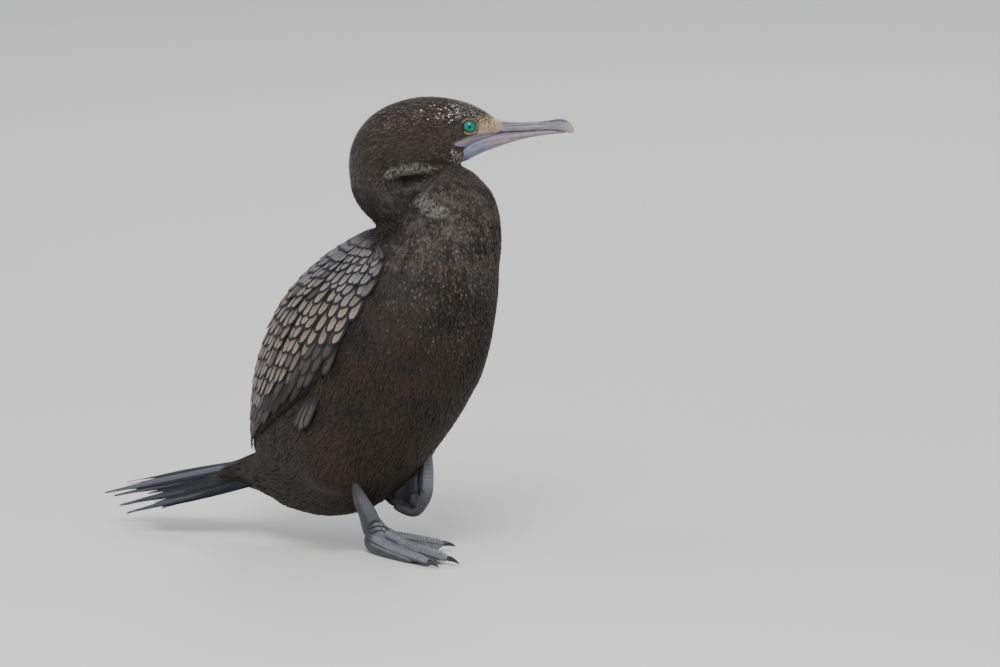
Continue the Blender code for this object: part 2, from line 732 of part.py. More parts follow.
# Tail
def make_tail(name, blocks):
    """The fan of stiff feathers. The middle pair is longest and lies on top."""
    back = Vector((-math.cos(TAIL_YAW), -math.sin(TAIL_YAW), 0)) * math.cos(TAIL_DROOP)
    back.z = -math.sin(TAIL_DROOP)
    level = Vector((0, 0, 1)).cross(back).normalized()
    roll = Matrix.Rotation(TAIL_ROLL, 3, back)
    over = roll @ level
    out = back.cross(over).normalized()
    if out.z < 0:
        out = -out
    vanes = []
    for k in range(TAIL_COUNT):
        place = k - (TAIL_COUNT - 1) / 2
        angle = place * TAIL_FAN
        along = back * math.cos(angle) + over * math.sin(angle)
        root = TAIL_ROOT + over * place * TAIL_STEP - out * abs(place) * TAIL_STACK
        length = TAIL_LENGTH - abs(place) * TAIL_SHORTENING
        side = (over * math.cos(angle) - back * math.sin(angle)).normalized()
        stations = (0.0, 0.30, 0.62, 0.86, 1.0)
        frames = [(root + along * length * at, side, out) for at in stations]
        rises = [0.0, 0.0, -0.0004, -0.0014, -0.0024]
        vanes.append(vane("quill", frames, TAIL_VANE_WIDTH, (0.55, 0.9, 1.0, 0.62), rises,
                          TAIL_VANE_THICKNESS, TAIL_RIDGE, math.copysign(VANE_TILT, place)))
    vanes[0].name = name
    tail = combine(vanes[0], vanes[1:], "UNION", ("MANIFOLD",))
    tail.name = name
    combine(tail, [copy_of(blocks["rump"], "block")], "DIFFERENCE", ("MANIFOLD",))
    return tail


# Legs
def make_thigh(name, shape, blocks):
    thigh = ellipsoid(name, *shape)
    for block in ("torso", "rump"):
        combine(thigh, [copy_of(blocks[block], "block")], "DIFFERENCE")
    return thigh


def make_toe(name, rows, count=7, sides=10, up=Vector((0, 0, 1))):
    return tube(name, [row + (row[3],) for row in rows], count, sides, up)


def web_between(name, first, second):
    """The flat skin between two toes, with an edge that hangs in between their tips."""
    inner, outer = smooth_rows(first, 6), smooth_rows(second, 6)
    edge = []
    for t in np.linspace(0, 1, 7)[1:-1]:
        point = Vector(inner[-1][:2]) * (1 - t) + Vector(outer[-1][:2]) * t
        root = Vector(inner[0][:2])
        edge.append(point + (root - point) * WEB_SLACK * math.sin(math.pi * t))
    outline = [Vector(row[:2]) for row in inner] + edge + [Vector(row[:2]) for row in reversed(outer)]
    form = bmesh.new()
    low = [form.verts.new((*point, -0.001)) for point in outline]
    high = [form.verts.new((*point, WEB_THICKNESS)) for point in outline]
    count = len(outline)
    for k in range(count):
        form.faces.new((low[k], low[(k + 1) % count], high[(k + 1) % count], high[k]))
    form.faces.new(low)
    form.faces.new(high)
    bmesh.ops.remove_doubles(form, verts=form.verts, dist=1e-5)
    bmesh.ops.triangulate(form, faces=form.faces)
    bmesh.ops.recalc_face_normals(form, faces=form.faces)
    mesh = bpy.data.meshes.new(name)
    form.to_mesh(mesh)
    form.free()
    obj = bpy.data.objects.new(name, mesh)
    bpy.context.scene.collection.objects.link(obj)
    return obj


def make_foot_right(name):
    toes = [make_toe("toe_" + key, rows) for key, rows in TOES_RIGHT.items()]
    order = ("outer", "middle", "inner", "hind")
    webs = [web_between("web", TOES_RIGHT[a], TOES_RIGHT[b]) for a, b in zip(order, order[1:])]
    foot = combine(toes[0], [*toes[1:], *webs, ellipsoid("heel", *HEEL, 0)], "UNION")
    foot.name = name
    combine(foot, [half_space("floor", Vector((0, 0, -GAP / 2)), Vector((0, 0, 1)))], "INTERSECT")
    ankle = half_space("ankle", Vector((0, 0, ANKLE_CUT)), Vector((0, 0, -1)))
    combine(foot, [ankle], "INTERSECT")
    return foot


def make_tarsus_right(name, thigh, blocks):
    leg = tube(name, TARSUS_RIGHT, 10, 14, up=Vector((1, 0, 0)), end=Vector((-0.0403, -0.0067, 0.0165)))
    combine(leg, [half_space("ankle", Vector((0, 0, ANKLE_CUT)), Vector((0, 0, 1)))], "INTERSECT")
    combine(leg, [swollen(thigh, "thigh_block")], "DIFFERENCE")
    combine(leg, [copy_of(blocks["torso"], "block")], "DIFFERENCE")
    return leg


def make_foot_left(name, blocks):
    toes = []
    for offset, share, rings in TOES_LEFT.values():
        rows = []
        for k, (ahead, left, height, radius) in enumerate(TOE_LEFT):
            shift = TOE_ROW_LEFT * offset * min(1.0, 0.5 + 0.17 * k)
            rows.append((ahead + shift.x, left + shift.y, height + shift.z, radius * share))
        toes.append(make_toe("toe", rows, rings, 10, TOE_ROW_LEFT))
    foot = combine(toes[0], toes[1:], "UNION")
    foot.name = name
    combine(foot, [half_space("joint", Vector((0, 0, JOINT_CUT)), Vector((0, 0, -1)))], "INTERSECT")
    combine(foot, [copy_of(blocks["torso"], "block")], "DIFFERENCE")
    return foot


def make_tarsus_left(name, thigh, blocks):
    leg = tube(name, TARSUS_LEFT, 9, 14, up=Vector((1, 0, 0)))
    combine(leg, [half_space("joint", Vector((0, 0, JOINT_CUT)), Vector((0, 0, 1)))], "INTERSECT")
    combine(leg, [swollen(thigh, "thigh_block")], "DIFFERENCE")
    combine(leg, [copy_of(blocks["torso"], "block")], "DIFFERENCE")
    return leg


def make_claw(name, start, along, down):
    """A short hooked nail that starts just past the end of a toe."""
    rows = []
    for at, share in ((0.0, 1.0), (0.35, 0.85), (0.7, 0.5), (0.92, 0.2)):
        point = start + along * CLAW_LENGTH * at + down * CLAW_LENGTH * 0.28 * at**2
        rows.append((*point, CLAW_RADIUS * share, CLAW_RADIUS * 0.8 * share))
    tip = start + along * CLAW_LENGTH + down * CLAW_LENGTH * 0.28
    return tube(name, rows, 6, 8, end=tip, start=start - along * 0.0001)


def make_claws_right(foot):
    claws = {}
    for key, rows in TOES_RIGHT.items():
        last, before = Vector(rows[-1][:3]), Vector(rows[-2][:3])
        along = (last - before).normalized()
        along.z = 0.02
        start = last + along.normalized() * (rows[-1][3] * 0.55)
        start.z = 0.0028
        claw = make_claw("claw_right_" + key, start, along.normalized(), Vector((0, 0, -1)))
        combine(claw, [swollen(foot, "foot_block")], "DIFFERENCE")
        claws[claw.name] = claw
    return claws


def make_claws_left(foot, blocks):
    claws = {}
    last, before = Vector(TOE_LEFT[-1][:3]), Vector(TOE_LEFT[-2][:3])
    along = (last - before).normalized()
    for key, (offset, _, _) in TOES_LEFT.items():
        tip = last + TOE_ROW_LEFT * offset
        claw = make_claw("claw_left_" + key, tip + along * TOE_LEFT[-1][3] * 0.5, along, Vector((0.3, 0, 1)))
        combine(claw, [swollen(foot, "foot_block")], "DIFFERENCE")
        combine(claw, [copy_of(blocks["torso"], "block")], "DIFFERENCE")
        claws[claw.name] = claw
    return claws


# The whole bird
def main():
    clear_scene()
    materials = make_materials()
    flesh, blocks = make_flesh()
    eyes = make_eyes(flesh["head"])
    upper, lower = make_bill(flesh["head"])
    combine(lower, [copy_of(blocks["neck"], "block")], "DIFFERENCE")
    tail = make_tail("tail", blocks)
    wings = {name: make_wing(name, side, blocks) for name, side in (("wing_right", -1), ("wing_left", 1))}
    thighs = {
        "thigh_right": make_thigh("thigh_right", THIGH_RIGHT, blocks),
        "thigh_left": make_thigh("thigh_left", THIGH_LEFT, blocks),
    }
    foot_right = make_foot_right("foot_right")
    tarsus_right = make_tarsus_right("tarsus_right", thighs["thigh_right"], blocks)
    foot_left = make_foot_left("foot_left", blocks)
    tarsus_left = make_tarsus_left("tarsus_left", thighs["thigh_left"], blocks)
    claws = {**make_claws_right(foot_right), **make_claws_left(foot_left, blocks)}
    for block in blocks.values():
        bpy.data.objects.remove(block, do_unlink=True)

    wears = {name: "plumage" for name in ("torso", "rump", "thigh_right", "thigh_left")}
    wears |= {name: "neck_plumage" for name in ("head", "neck_upper", "neck_lower")}
    wears |= {"wing_right": "wing_plumage", "wing_left": "wing_plumage", "tail": "tail_vane"}
    wears |= {"bill_upper": "bill_horn", "bill_lower": "gular_skin"}
    wears |= {"eye_right": "iris", "eye_left": "iris"}
    wears |= {name: "leg_skin" for name in ("tarsus_right", "tarsus_left", "foot_right", "foot_left")}
    wears |= {name: "claw_horn" for name in claws}

    origin = bpy.data.objects.new("bird_origin", None)
    bpy.context.scene.collection.objects.link(origin)
    origin.location = -SOLE_CENTRE
    bird = bpy.data.collections.new("cormorant")
    bpy.context.scene.collection.children.link(bird)
    for name, slot in wears.items():
        obj = bpy.data.objects[name]
        bpy.context.scene.collection.objects.unlink(obj)
        bird.objects.link(obj)
        obj.parent = origin
        obj.data.materials.clear()
        obj.data.materials.append(materials[slot])
        obj.data.set_sharp_from_angle(angle=math.radians(40))
    bpy.context.view_layer.update()


main()
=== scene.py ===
# %% [markdown]
# # A little black cormorant, life size
#
# The real bird is a small dark water bird that stands on one foot here, with its neck folded and
# its head turned. A museum would model it as a firm body, then lay the plumage over it in the
# order that it grows: short velvet on the head, soft overlapping feathers on the body, and stiff
# quills on the wings and tail. This lesson keeps that order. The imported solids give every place
# and size, so the first cell loads them and keeps the box that the finished bird has to stay in.

import math

import bmesh
import bpy
import numpy as np
from mathutils import Matrix, Vector
from mathutils.bvhtree import BVHTree
from mathutils.kdtree import KDTree


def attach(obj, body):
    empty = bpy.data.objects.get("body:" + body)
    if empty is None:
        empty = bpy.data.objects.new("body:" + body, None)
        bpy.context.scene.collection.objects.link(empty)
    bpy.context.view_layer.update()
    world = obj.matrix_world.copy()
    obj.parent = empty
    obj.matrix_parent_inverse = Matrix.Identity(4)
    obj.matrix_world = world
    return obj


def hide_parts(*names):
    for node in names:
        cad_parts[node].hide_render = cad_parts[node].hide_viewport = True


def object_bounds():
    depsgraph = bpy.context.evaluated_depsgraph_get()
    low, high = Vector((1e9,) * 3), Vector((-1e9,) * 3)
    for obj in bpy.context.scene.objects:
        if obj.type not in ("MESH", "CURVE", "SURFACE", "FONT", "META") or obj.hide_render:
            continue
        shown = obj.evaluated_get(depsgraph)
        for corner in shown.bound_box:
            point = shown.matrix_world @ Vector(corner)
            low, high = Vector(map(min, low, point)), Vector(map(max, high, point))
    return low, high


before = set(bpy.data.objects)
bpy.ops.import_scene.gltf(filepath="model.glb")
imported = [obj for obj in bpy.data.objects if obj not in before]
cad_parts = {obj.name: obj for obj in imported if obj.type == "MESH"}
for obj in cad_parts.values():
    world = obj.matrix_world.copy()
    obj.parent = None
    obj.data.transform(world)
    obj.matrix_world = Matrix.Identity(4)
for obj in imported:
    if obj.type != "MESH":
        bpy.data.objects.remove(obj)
solid_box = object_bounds()
box_corners = [tuple(round(x, 4) for x in corner) for corner in solid_box]
print("packed nodes:", len(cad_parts), "box:", box_corners)

# %% [markdown]
# ## Studio
#
# The photograph was taken from far away with a long lens, ten degrees above the bird and
# thirty-eight degrees round from its right side. A long lens at twenty metres gives the same flat
# perspective. The studio is a wide pale floor under large soft lamps: one broad lamp from above
# and to the right models the round body, and weaker ones keep the dark feathers readable.

# %% Camera
VIEW_ROUND, VIEW_ABOVE = math.radians(38), math.radians(10)
VIEW_DISTANCE, SENSOR_WIDTH = 20.0, 36.0
PICTURE_WIDTH, MIDDLE_RIGHT, MIDDLE_UP = 0.66, 0.0581, 0.1485
to_right = Vector((math.cos(VIEW_ROUND), math.sin(VIEW_ROUND), 0))
to_camera = Vector((math.sin(VIEW_ROUND) * math.cos(VIEW_ABOVE),
                    -math.cos(VIEW_ROUND) * math.cos(VIEW_ABOVE), math.sin(VIEW_ABOVE)))
to_top = to_camera.cross(to_right)
picture_middle = to_right * MIDDLE_RIGHT + to_top * MIDDLE_UP


def add_object(name, data):
    made = bpy.data.objects.new(name, data)
    bpy.context.scene.collection.objects.link(made)
    return made


def aim(thing, backwards):
    """Turns a camera or a lamp so that its back faces the way given."""
    thing.rotation_mode = "QUATERNION"
    thing.rotation_quaternion = backwards.to_track_quat("Z", "Y")


camera = add_object("camera", bpy.data.cameras.new("camera"))
camera.data.sensor_width = SENSOR_WIDTH
camera.data.lens = SENSOR_WIDTH * VIEW_DISTANCE / PICTURE_WIDTH
camera.data.clip_end = 5 * VIEW_DISTANCE
camera.location = picture_middle + to_camera * VIEW_DISTANCE
aim(camera, to_camera)
bpy.context.scene.camera = camera
print("lens", round(camera.data.lens, 1), "mm")


# %% Wires: sums for materials
class Wire:
    """A socket of a material. Sums that Python writes with it add their Math nodes."""

    def __init__(self, tree, socket=None):
        self.tree, self.socket = tree, socket

    def node(self, kind, settings=None, sockets=None, output=0):
        """Adds a node: its settings first, then the values or wires of its sockets."""
        made = self.tree.nodes.new("ShaderNode" + kind)
        for key, value in (settings or {}).items():
            setattr(made, key, value)
        for key, value in (sockets or {}).items():
            if isinstance(value, Wire):
                self.tree.links.new(value.socket, made.inputs[key])
            else:
                made.inputs[key].default_value = value
        return Wire(self.tree, made.outputs[output])

    def maths(self, operation, *others):
        """A Math node on this wire and the others, in that order."""
        return self.node("Math", {"operation": operation}, dict(enumerate((self, *others))))

    def __add__(self, other):
        return self.maths("ADD", other)

    def __sub__(self, other):
        return self.maths("SUBTRACT", other)

    def __rsub__(self, other):
        return self.node("Math", {"operation": "SUBTRACT"}, {0: other, 1: self})

    def __mul__(self, other):
        return self.maths("MULTIPLY", other)

    def __abs__(self):
        return self.maths("ABSOLUTE")

    __radd__, __rmul__ = __add__, __mul__

    def step(self, low, high):
        """0 below low and 1 above high, with a smooth slope between; low may be the larger."""
        return self.node("MapRange", {"interpolation_type": "SMOOTHSTEP"},
                         {"Value": self, "From Min": low, "From Max": high})

    def tint(self, first, second):
        """The first colour where the wire is 0 and the second where it is 1."""
        ends = [c if isinstance(c, Wire) else (*c, 1.0) for c in (first, second)]
        return self.node("Mix", {"data_type": "RGBA"}, {0: self, 6: ends[0], 7: ends[1]}, 2)

    def vector(self, operation, *others, output=0):
        """A Vector Math node on this wire and the others, in that order."""
        sockets = dict(enumerate((self, *others)))
        return self.node("VectorMath", {"operation": operation}, sockets, output)

    def parts(self):
        made = self.node("SeparateXYZ", None, {0: self})
        return [Wire(self.tree, s) for s in made.socket.node.outputs]

    def stored(self, name):
        """The three values that every point of the piece holds under that name."""
        return self.node("Attribute", {"attribute_name": name}, output="Vector").parts()

    def noise(self, scale, detail=2.0, rough=0.5):
        """Soft cloudy values from 0 to 1; scale is in bumps to the metre."""
        return self.node("TexNoise", None, {"Vector": self, "Scale": scale, "Detail": detail,
                                            "Roughness": rough})

    def cells(self, scale, feature="F1"):
        """How far it is from the middles of small cells, or to their edges."""
        sockets = {"Vector": self, "Scale": scale}
        return self.node("TexVoronoi", {"feature": feature}, sockets, "Distance")


# %% New finishes
def new_finish(name, **constants):
    """A material, the wire of its place on the object, and its shader with its constants set."""
    material = bpy.data.materials.new(name)
    material.use_nodes = True
    tree = material.node_tree
    shader = tree.nodes["Principled BSDF"]
    for key, value in constants.items():
        shader.inputs[key.replace("_", " ")].default_value = value
    return material, Wire(tree).node("TexCoord", output="Object"), shader


def feed(shader, **wires):
    """Links each wire to the shader's socket of that name."""
    for key, wire in wires.items():
        wire.tree.links.new(wire.socket, shader.inputs[key.replace("_", " ")])


def bumped(height, depth, strength=1.0):
    """A normal that makes height stand out by depth, in metres."""
    return height.node("Bump", None, {"Height": height, "Distance": depth, "Strength": strength},
                       "Normal")


# %% Floor
FLOOR_RADIUS, FLOOR_SIDES = 30, 64
FLOOR_TONES = (0.80, 0.785, 0.755), (0.84, 0.825, 0.795)


def as_mesh(name, form):
    """The bmesh as a mesh; the bmesh is freed."""
    mesh = bpy.data.meshes.new(name)
    form.to_mesh(mesh)
    form.free()
    return mesh


def add_floor():
    form = bmesh.new()
    bmesh.ops.create_circle(form, cap_ends=True, segments=FLOOR_SIDES, radius=FLOOR_RADIUS)
    floor = add_object("floor", as_mesh("floor", form))
    material, place, shader = new_finish("studio_floor", Roughness=0.8)
    feed(shader, Base_Color=place.noise(2.0).tint(*FLOOR_TONES))
    floor.data.materials.append(material)


add_floor()

# %% Lamps and sky
# Where each lamp hangs, how wide it is, in metres, and its power in watts.
LAMPS = {
    "key": ((0.9, -1.3, 1.9), 1.1, 46),
    "fill": ((-1.6, -1.4, 0.9), 1.6, 11),
    "rim": ((-0.8, 1.7, 1.5), 1.0, 14),
}
LIT_PLACE = Vector((0, 0, 0.15))
SKY, SKY_STRENGTH = (0.90, 0.93, 1.0, 1.0), 0.62


def add_lamps():
    for name, (place, size, power) in LAMPS.items():
        light = bpy.data.lights.new(name, "AREA")
        light.shape, light.size, light.energy = "DISK", size, power
        lamp = add_object(name, light)
        lamp.location = place
        aim(lamp, Vector(place) - LIT_PLACE)


def add_sky():
    world = bpy.data.worlds.new("studio")
    world.use_nodes = True
    sky = world.node_tree.nodes["Background"]
    sky.inputs["Color"].default_value = SKY
    sky.inputs["Strength"].default_value = SKY_STRENGTH
    bpy.context.scene.world = world


add_lamps()
add_sky()
print("lamps:", ", ".join(LAMPS))

# %% [markdown]
# ## The bird's own frame
#
# A maker marks a middle line on the body and an axis along the turned head before placing
# anything. The same two frames serve here. In the body's frame x runs ahead, y to the bird's left
# and z up. The head's frame is turned to the left and measures along the head, to its side and up.

# %% Body and head frames
MIDLINE = np.array((0.0049, 0.0087, 0.0))
HEAD_TURN, HEAD_SHIFT, HEAD_OUT = math.radians(38), 0.015, 0.018
HEAD_AHEAD = np.array((math.cos(HEAD_TURN), math.sin(HEAD_TURN), 0.0))
HEAD_LEFT = np.array((-math.sin(HEAD_TURN), math.cos(HEAD_TURN), 0.0))
HEAD_ORIGIN = MIDLINE - (0.0, HEAD_SHIFT, 0.0) + HEAD_LEFT * HEAD_OUT
SIDES = ((-1, "right"), (1, "left"))


def on_head(points):
    """Along the head, to its left and up, for points of the model."""
    moved = np.asarray(points) - HEAD_ORIGIN
    return moved @ HEAD_AHEAD, moved @ HEAD_LEFT, moved[..., 2]


def head_point(along, side, height):
    return HEAD_ORIGIN + HEAD_AHEAD * along + HEAD_LEFT * side + np.array((0, 0, height))


def smooth_rows(table, count):
    """The rows of a table joined by one smooth curve, read at evenly spaced places along it."""
    rows = np.array(table, float)
    padded = np.vstack([2 * rows[0] - rows[1], rows, 2 * rows[-1] - rows[-2]])
    at = np.linspace(0, len(rows) - 1, count)
    first = np.minimum(at.astype(int), len(rows) - 2)
    t = (at - first)[:, None]
    a, b, c, d = (padded[first + k] for k in range(4))
    bent = (2 * a - 5 * b + 4 * c - d) * t**2 + (3 * b - a - 3 * c + d) * t**3
    return 0.5 * (2 * b + (c - a) * t + bent)


def unit(vectors):
    return vectors / np.maximum(np.linalg.norm(vectors, axis=-1, keepdims=True), 1e-12)


def slope(value, low, high):
    """0 below low and 1 above high, with a smooth slope between; low may be the larger."""
    t = np.clip((value - low) / (high - low), 0, 1)
    return t * t * (3 - 2 * t)


def bell(offset, width):
    """1 where offset is 0, about a third where it is width, and nearly 0 at twice that."""
    return np.exp(-((offset / width) ** 2))


# %% A finished piece
def settle(name, form, paint, replaced=(), sharp=None):
    """Makes a mesh or a bmesh a piece of the bird that rides on its body."""
    mesh = as_mesh(name, form) if isinstance(form, bmesh.types.BMesh) else form
    piece = add_object(name, mesh)
    mesh.materials.append(paint)
    mesh.shade_smooth()
    if sharp:
        mesh.set_sharp_from_angle(angle=math.radians(sharp))
    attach(piece, "root")
    if replaced:
        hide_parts(*replaced)
    mesh.calc_loop_triangles()
    print(f"{name}: {len(mesh.loop_triangles)} triangles")


# %% [markdown]
# ## Markings
#
# The plumage is charcoal brown. It is warmer on the head, speckled with rust on the breast, pale
# grey on a patch at the side of the neck and along the lip of the fold under the cheek, and
# flecked with white behind the eye. Painted shade darkens the crease under that lip and the valley
# down the neck, and the pale mottles of the upper breast also carry painted light. Skin and
# feathers have to carry the same marks, or the skin would show between them, so one function
# paints both from the place on the body.

# %% Marks of the plumage
CHARCOAL, SOOT, BARK = (0.046, 0.042, 0.040), (0.012, 0.0105, 0.009), (0.030, 0.0210, 0.0120)
UMBER, RUST, MOTH = (0.040, 0.030, 0.022), (0.095, 0.070, 0.055), (0.135, 0.118, 0.110)
PEAT, COAL, DOWN = (0.034, 0.024, 0.014), (0.011, 0.010, 0.009), (0.048, 0.047, 0.047)
ASH, PITCH = (0.245, 0.242, 0.216), (0.006, 0.006, 0.006)
# Middles of the pale patch on the neck, and how far it reaches round each.
NECK_PATCH = (
    ((0.0150, -0.0115, 0.2430), (0.0060, 0.0080, 0.0045)),
    ((0.0225, -0.0125, 0.2400), (0.0075, 0.0080, 0.0050)),
    ((0.0310, -0.0125, 0.2365), (0.0075, 0.0080, 0.0042)),
    ((0.0000, -0.0080, 0.2490), (0.0050, 0.0060, 0.0040)),
)
# The fold under the cheek: its pale lip, the crease under the lip, and the valley down the neck.
FOLD_LIP = (
    (-0.0100, -0.0115, 0.2568), (-0.0077, -0.0092, 0.2585), (-0.0021, -0.0047, 0.2603),
    (0.0035, -0.0012, 0.2612), (0.0086, 0.0028, 0.2610), (0.0128, 0.0068, 0.2602),
)
LIP_THICK, LIP_DEEP = (0.0024, 0.0043, 0.0054, 0.0052, 0.0044, 0.0028), 0.0052
CREASE = (
    (-0.0020, -0.0030, 0.2528), (0.0045, 0.0015, 0.2543), (0.0100, 0.0048, 0.2562),
    (0.0140, 0.0075, 0.2592),
)
VALLEY = (
    (-0.0025, -0.0035, 0.2520), (0.0010, -0.0090, 0.2430), (0.0000, -0.0110, 0.2340),
    (-0.0055, -0.0110, 0.2260),
)
# How far the painted shade reaches round each point of the crease and of the valley.
CREASE_SHADE_REACH, VALLEY_SHADE_REACH = (0.0046, 0.0046, 0.0019), (0.0060, 0.0060, 0.0070)


# %% The colour of the plumage at a place
def patch(place, middle, reach, soft=0.5):
    """1 inside a rounded patch of the body and 0 outside it."""
    away = place.vector("SUBTRACT", middle).vector("DIVIDE", reach).vector("LENGTH", output="Value")
    return away.step(1 + soft, 1 - soft)


def ground_colour(place):
    """The brown and grey of each region, before the pale and dark marks of the neck; the pale mottles of
    the upper breast are partly painted light.
    """
    ahead, _, height = place.parts()
    rump = ahead.step(-0.045, -0.085) * height.step(0.15, 0.10)
    breast = height.step(0.165, 0.21) * ahead.step(-0.01, 0.03)
    lit_chest = height.step(0.188, 0.212) * ahead.step(-0.03, 0.01) * height.step(0.262, 0.250)
    fluff = place.noise(75, 4, 0.72).step(0.46, 0.62)
    speckle = place.noise(130, 4, 0.75).step(0.50, 0.66)
    mottle = place.noise(95, 4, 0.8).step(0.47, 0.62)
    colour = height.step(0.195, 0.135).tint(CHARCOAL, BARK)
    colour = place.noise(45, 3).step(0.35, 0.7).tint(SOOT, colour)
    colour = (height.step(0.235, 0.27) * 0.75).tint(colour, UMBER)
    colour = (height.step(0.11, 0.05) * 0.4).tint(colour, PEAT)
    colour = (rump * 0.60).tint(colour, COAL)
    colour = (rump * fluff * 0.60).tint(colour, DOWN)
    colour = (speckle * breast * 0.65).tint(colour, RUST)
    # Pale mottles on the upper breast: real mottling, made stronger as painted light from above.
    return (lit_chest * mottle * 0.70).tint(colour, MOTH)


def plumage(place):
    """The colour of the plumage at a place on the body, with painted shade in the crease under the fold's
    lip and in the valley down the neck.
    """
    colour, fine = ground_colour(place), place.noise(420, 2, 0.6)
    for middle, reach in NECK_PATCH:
        colour = (patch(place, middle, reach) * fine.step(0.35, 0.6) * 0.85).tint(colour, ASH)
    # Painted shade in the valley down the neck.
    for middle in VALLEY[1:]:
        colour = (patch(place, middle, VALLEY_SHADE_REACH) * 0.5).tint(colour, SOOT)
    for middle, thick in zip(FOLD_LIP, LIP_THICK):
        wide = min(LIP_DEEP, thick * 1.15)
        here = patch(place, middle, (wide, wide, thick), 0.3)
        colour = (here * fine.step(0.36, 0.60)).tint(colour, ASH)
    # Painted shade in the crease under the fold's lip.
    for middle in CREASE:
        colour = (patch(place, middle, CREASE_SHADE_REACH) * 0.9).tint(colour, PITCH)
    return (place.noise(900, 2).step(0.3, 0.8) * 0.35).tint(colour, SOOT)


# %% [markdown]
# ## Skin
#
# Under the feathers a stuffed bird has one unbroken skin. The solids are parted by thin cuts, so
# their copies are swollen until the cuts close, joined, and remeshed with small cubes into one
# surface. Smoothing takes the flats of the solids away. Then the skin sinks by the depth of the
# feathers that will lie on it. A carved bird would need every fold cut by hand; here the fold
# under the cheek and the line of the mouth are pressed in with soft functions of distance.

# %% One skin from the parted flesh
FLESH = ("head", "neck_upper", "neck_lower", "torso", "rump", "thigh_right", "thigh_left")
CUBE, OVERLAP, SKIN_RELAX, WELD = 0.00168, 0.00035, 26, 1e-6


def read_vertices(mesh, key):
    """The places ("co") or the normals ("normal") of a mesh's vertices."""
    found = np.empty(len(mesh.vertices) * 3, np.float32)
    mesh.vertices.foreach_get(key, found)
    return found.reshape(-1, 3).astype(float)


def place_vertices(mesh, points):
    mesh.vertices.foreach_set("co", points.astype(np.float32).ravel())
    mesh.update()


def swollen(name):
    """A copy of a solid of the frame that is larger by the overlap all round."""
    form = bmesh.new()
    form.from_mesh(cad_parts[name].data)
    bmesh.ops.remove_doubles(form, verts=form.verts, dist=WELD)
    bmesh.ops.recalc_face_normals(form, faces=form.faces)
    form.normal_update()
    moves = [vertex.normal * OVERLAP for vertex in form.verts]
    for vertex, move in zip(form.verts, moves):
        vertex.co += move
    return form


def gather(forms):
    """One bmesh with everything in the forms."""
    whole = bmesh.new()
    for form in forms:
        mesh = as_mesh("piece", form)
        whole.from_mesh(mesh)
        bpy.data.meshes.remove(mesh)
    return whole


# %% Small cubes, and distance from a path
def remeshed(form, cube, relax):
    """One closed surface round everything in form, as a new mesh."""
    rough = add_object("form", as_mesh("form", form))
    modifier = rough.modifiers.new("cubes", "REMESH")
    modifier.mode, modifier.voxel_size, modifier.adaptivity = "VOXEL", cube, 0
    smoother = rough.modifiers.new("relax", "SMOOTH")
    smoother.factor, smoother.iterations = 0.5, relax
    bpy.context.view_layer.update()
    graph = bpy.context.evaluated_depsgraph_get()
    made = bpy.data.meshes.new_from_object(rough.evaluated_get(graph))
    bpy.data.objects.remove(rough, do_unlink=True)
    return made


def segment_distance(points, path):
    """How far each point is from a path of straight pieces, and how far along it the point lies."""
    path = np.asarray(path, float)
    best, place, run = np.full(len(points), 1e9), np.zeros(len(points)), 0.0
    for a, b in zip(path, path[1:]):
        step = b - a
        length = np.linalg.norm(step)
        t = np.clip((points - a) @ step / length**2, 0, 1)
        away = np.linalg.norm(points - a - t[:, None] * step, axis=1)
        nearer = away < best
        best[nearer], place[nearer] = away[nearer], (run + t * length)[nearer]
        run += length
    return best, place


skin_mesh = remeshed(gather(swollen(name) for name in FLESH), CUBE, SKIN_RELAX)
print("skin faces:", len(skin_mesh.polygons))

# %% Softer thighs and a finer face
THIGH_TOP, THIGH_BACK, SOFTENING = 0.115, -0.105, 200
FACE_START, FACE_FINER, CHIN_HEIGHT = 0.020, 0.002, 0.255


def soften_thighs(form):
    """Blends the thighs into the belly."""
    low = [v for v in form.verts if v.co.z < THIGH_TOP and v.co.x > THIGH_BACK]
    for _ in range(SOFTENING):
        bmesh.ops.smooth_vert(form, verts=low, factor=0.5, use_axis_x=True, use_axis_y=True,
                              use_axis_z=True)


def refine_face(form):
    """Makes smaller faces, in two rounds, for the mouth and the lids."""
    for start in (FACE_START, FACE_START + FACE_FINER):
        ends = {v for v in form.verts if on_head(np.array(v.co))[0] > start and v.co.z > CHIN_HEIGHT}
        edges = [e for e in form.edges if e.verts[0] in ends and e.verts[1] in ends]
        bmesh.ops.subdivide_edges(form, edges=edges, cuts=1, use_grid_fill=True)


fine_form = bmesh.new()
fine_form.from_mesh(skin_mesh)
soften_thighs(fine_form)
refine_face(fine_form)
fine_form.to_mesh(skin_mesh)
fine_form.free()

# %% Fold, mouth line and depth of the skin
COAT_DEPTH, HEAD_DEPTH, FACE_DEPTH = 0.0015, 0.0002, -0.0003
LIP_RISE, LIP_SHARE = 0.68, 0.95
CREASE_DEPTH, CREASE_WIDE, VALLEY_DEPTH, VALLEY_WIDE = 0.0028, 0.0021, 0.0016, 0.0042
TAIL_SINK = 0.0022
CHIN_ALONG, CHIN_LONG, CHIN_UP, CHIN_TALL, CHIN_PUSH = 0.0305, 0.0045, 0.2690, 0.0042, 0.0056
MOUTH_LINE = ((0.0262, 0.2766), (0.0300, 0.2790), (0.0389, 0.2818), (0.0500, 0.2832),
              (0.0600, 0.2832))
MOUTH_FROM, MOUTH_DEPTH = 0.02, 0.0007


def feather_depth(along, height):
    """How deep the feathers are that will lie on the skin there."""
    face = slope(along, 0.012, 0.040) * slope(height, 0.250, 0.265)
    head = slope(height, 0.255, 0.270)
    covered = COAT_DEPTH * (1 - head) + HEAD_DEPTH * head
    return covered * (1 - face) + FACE_DEPTH * face


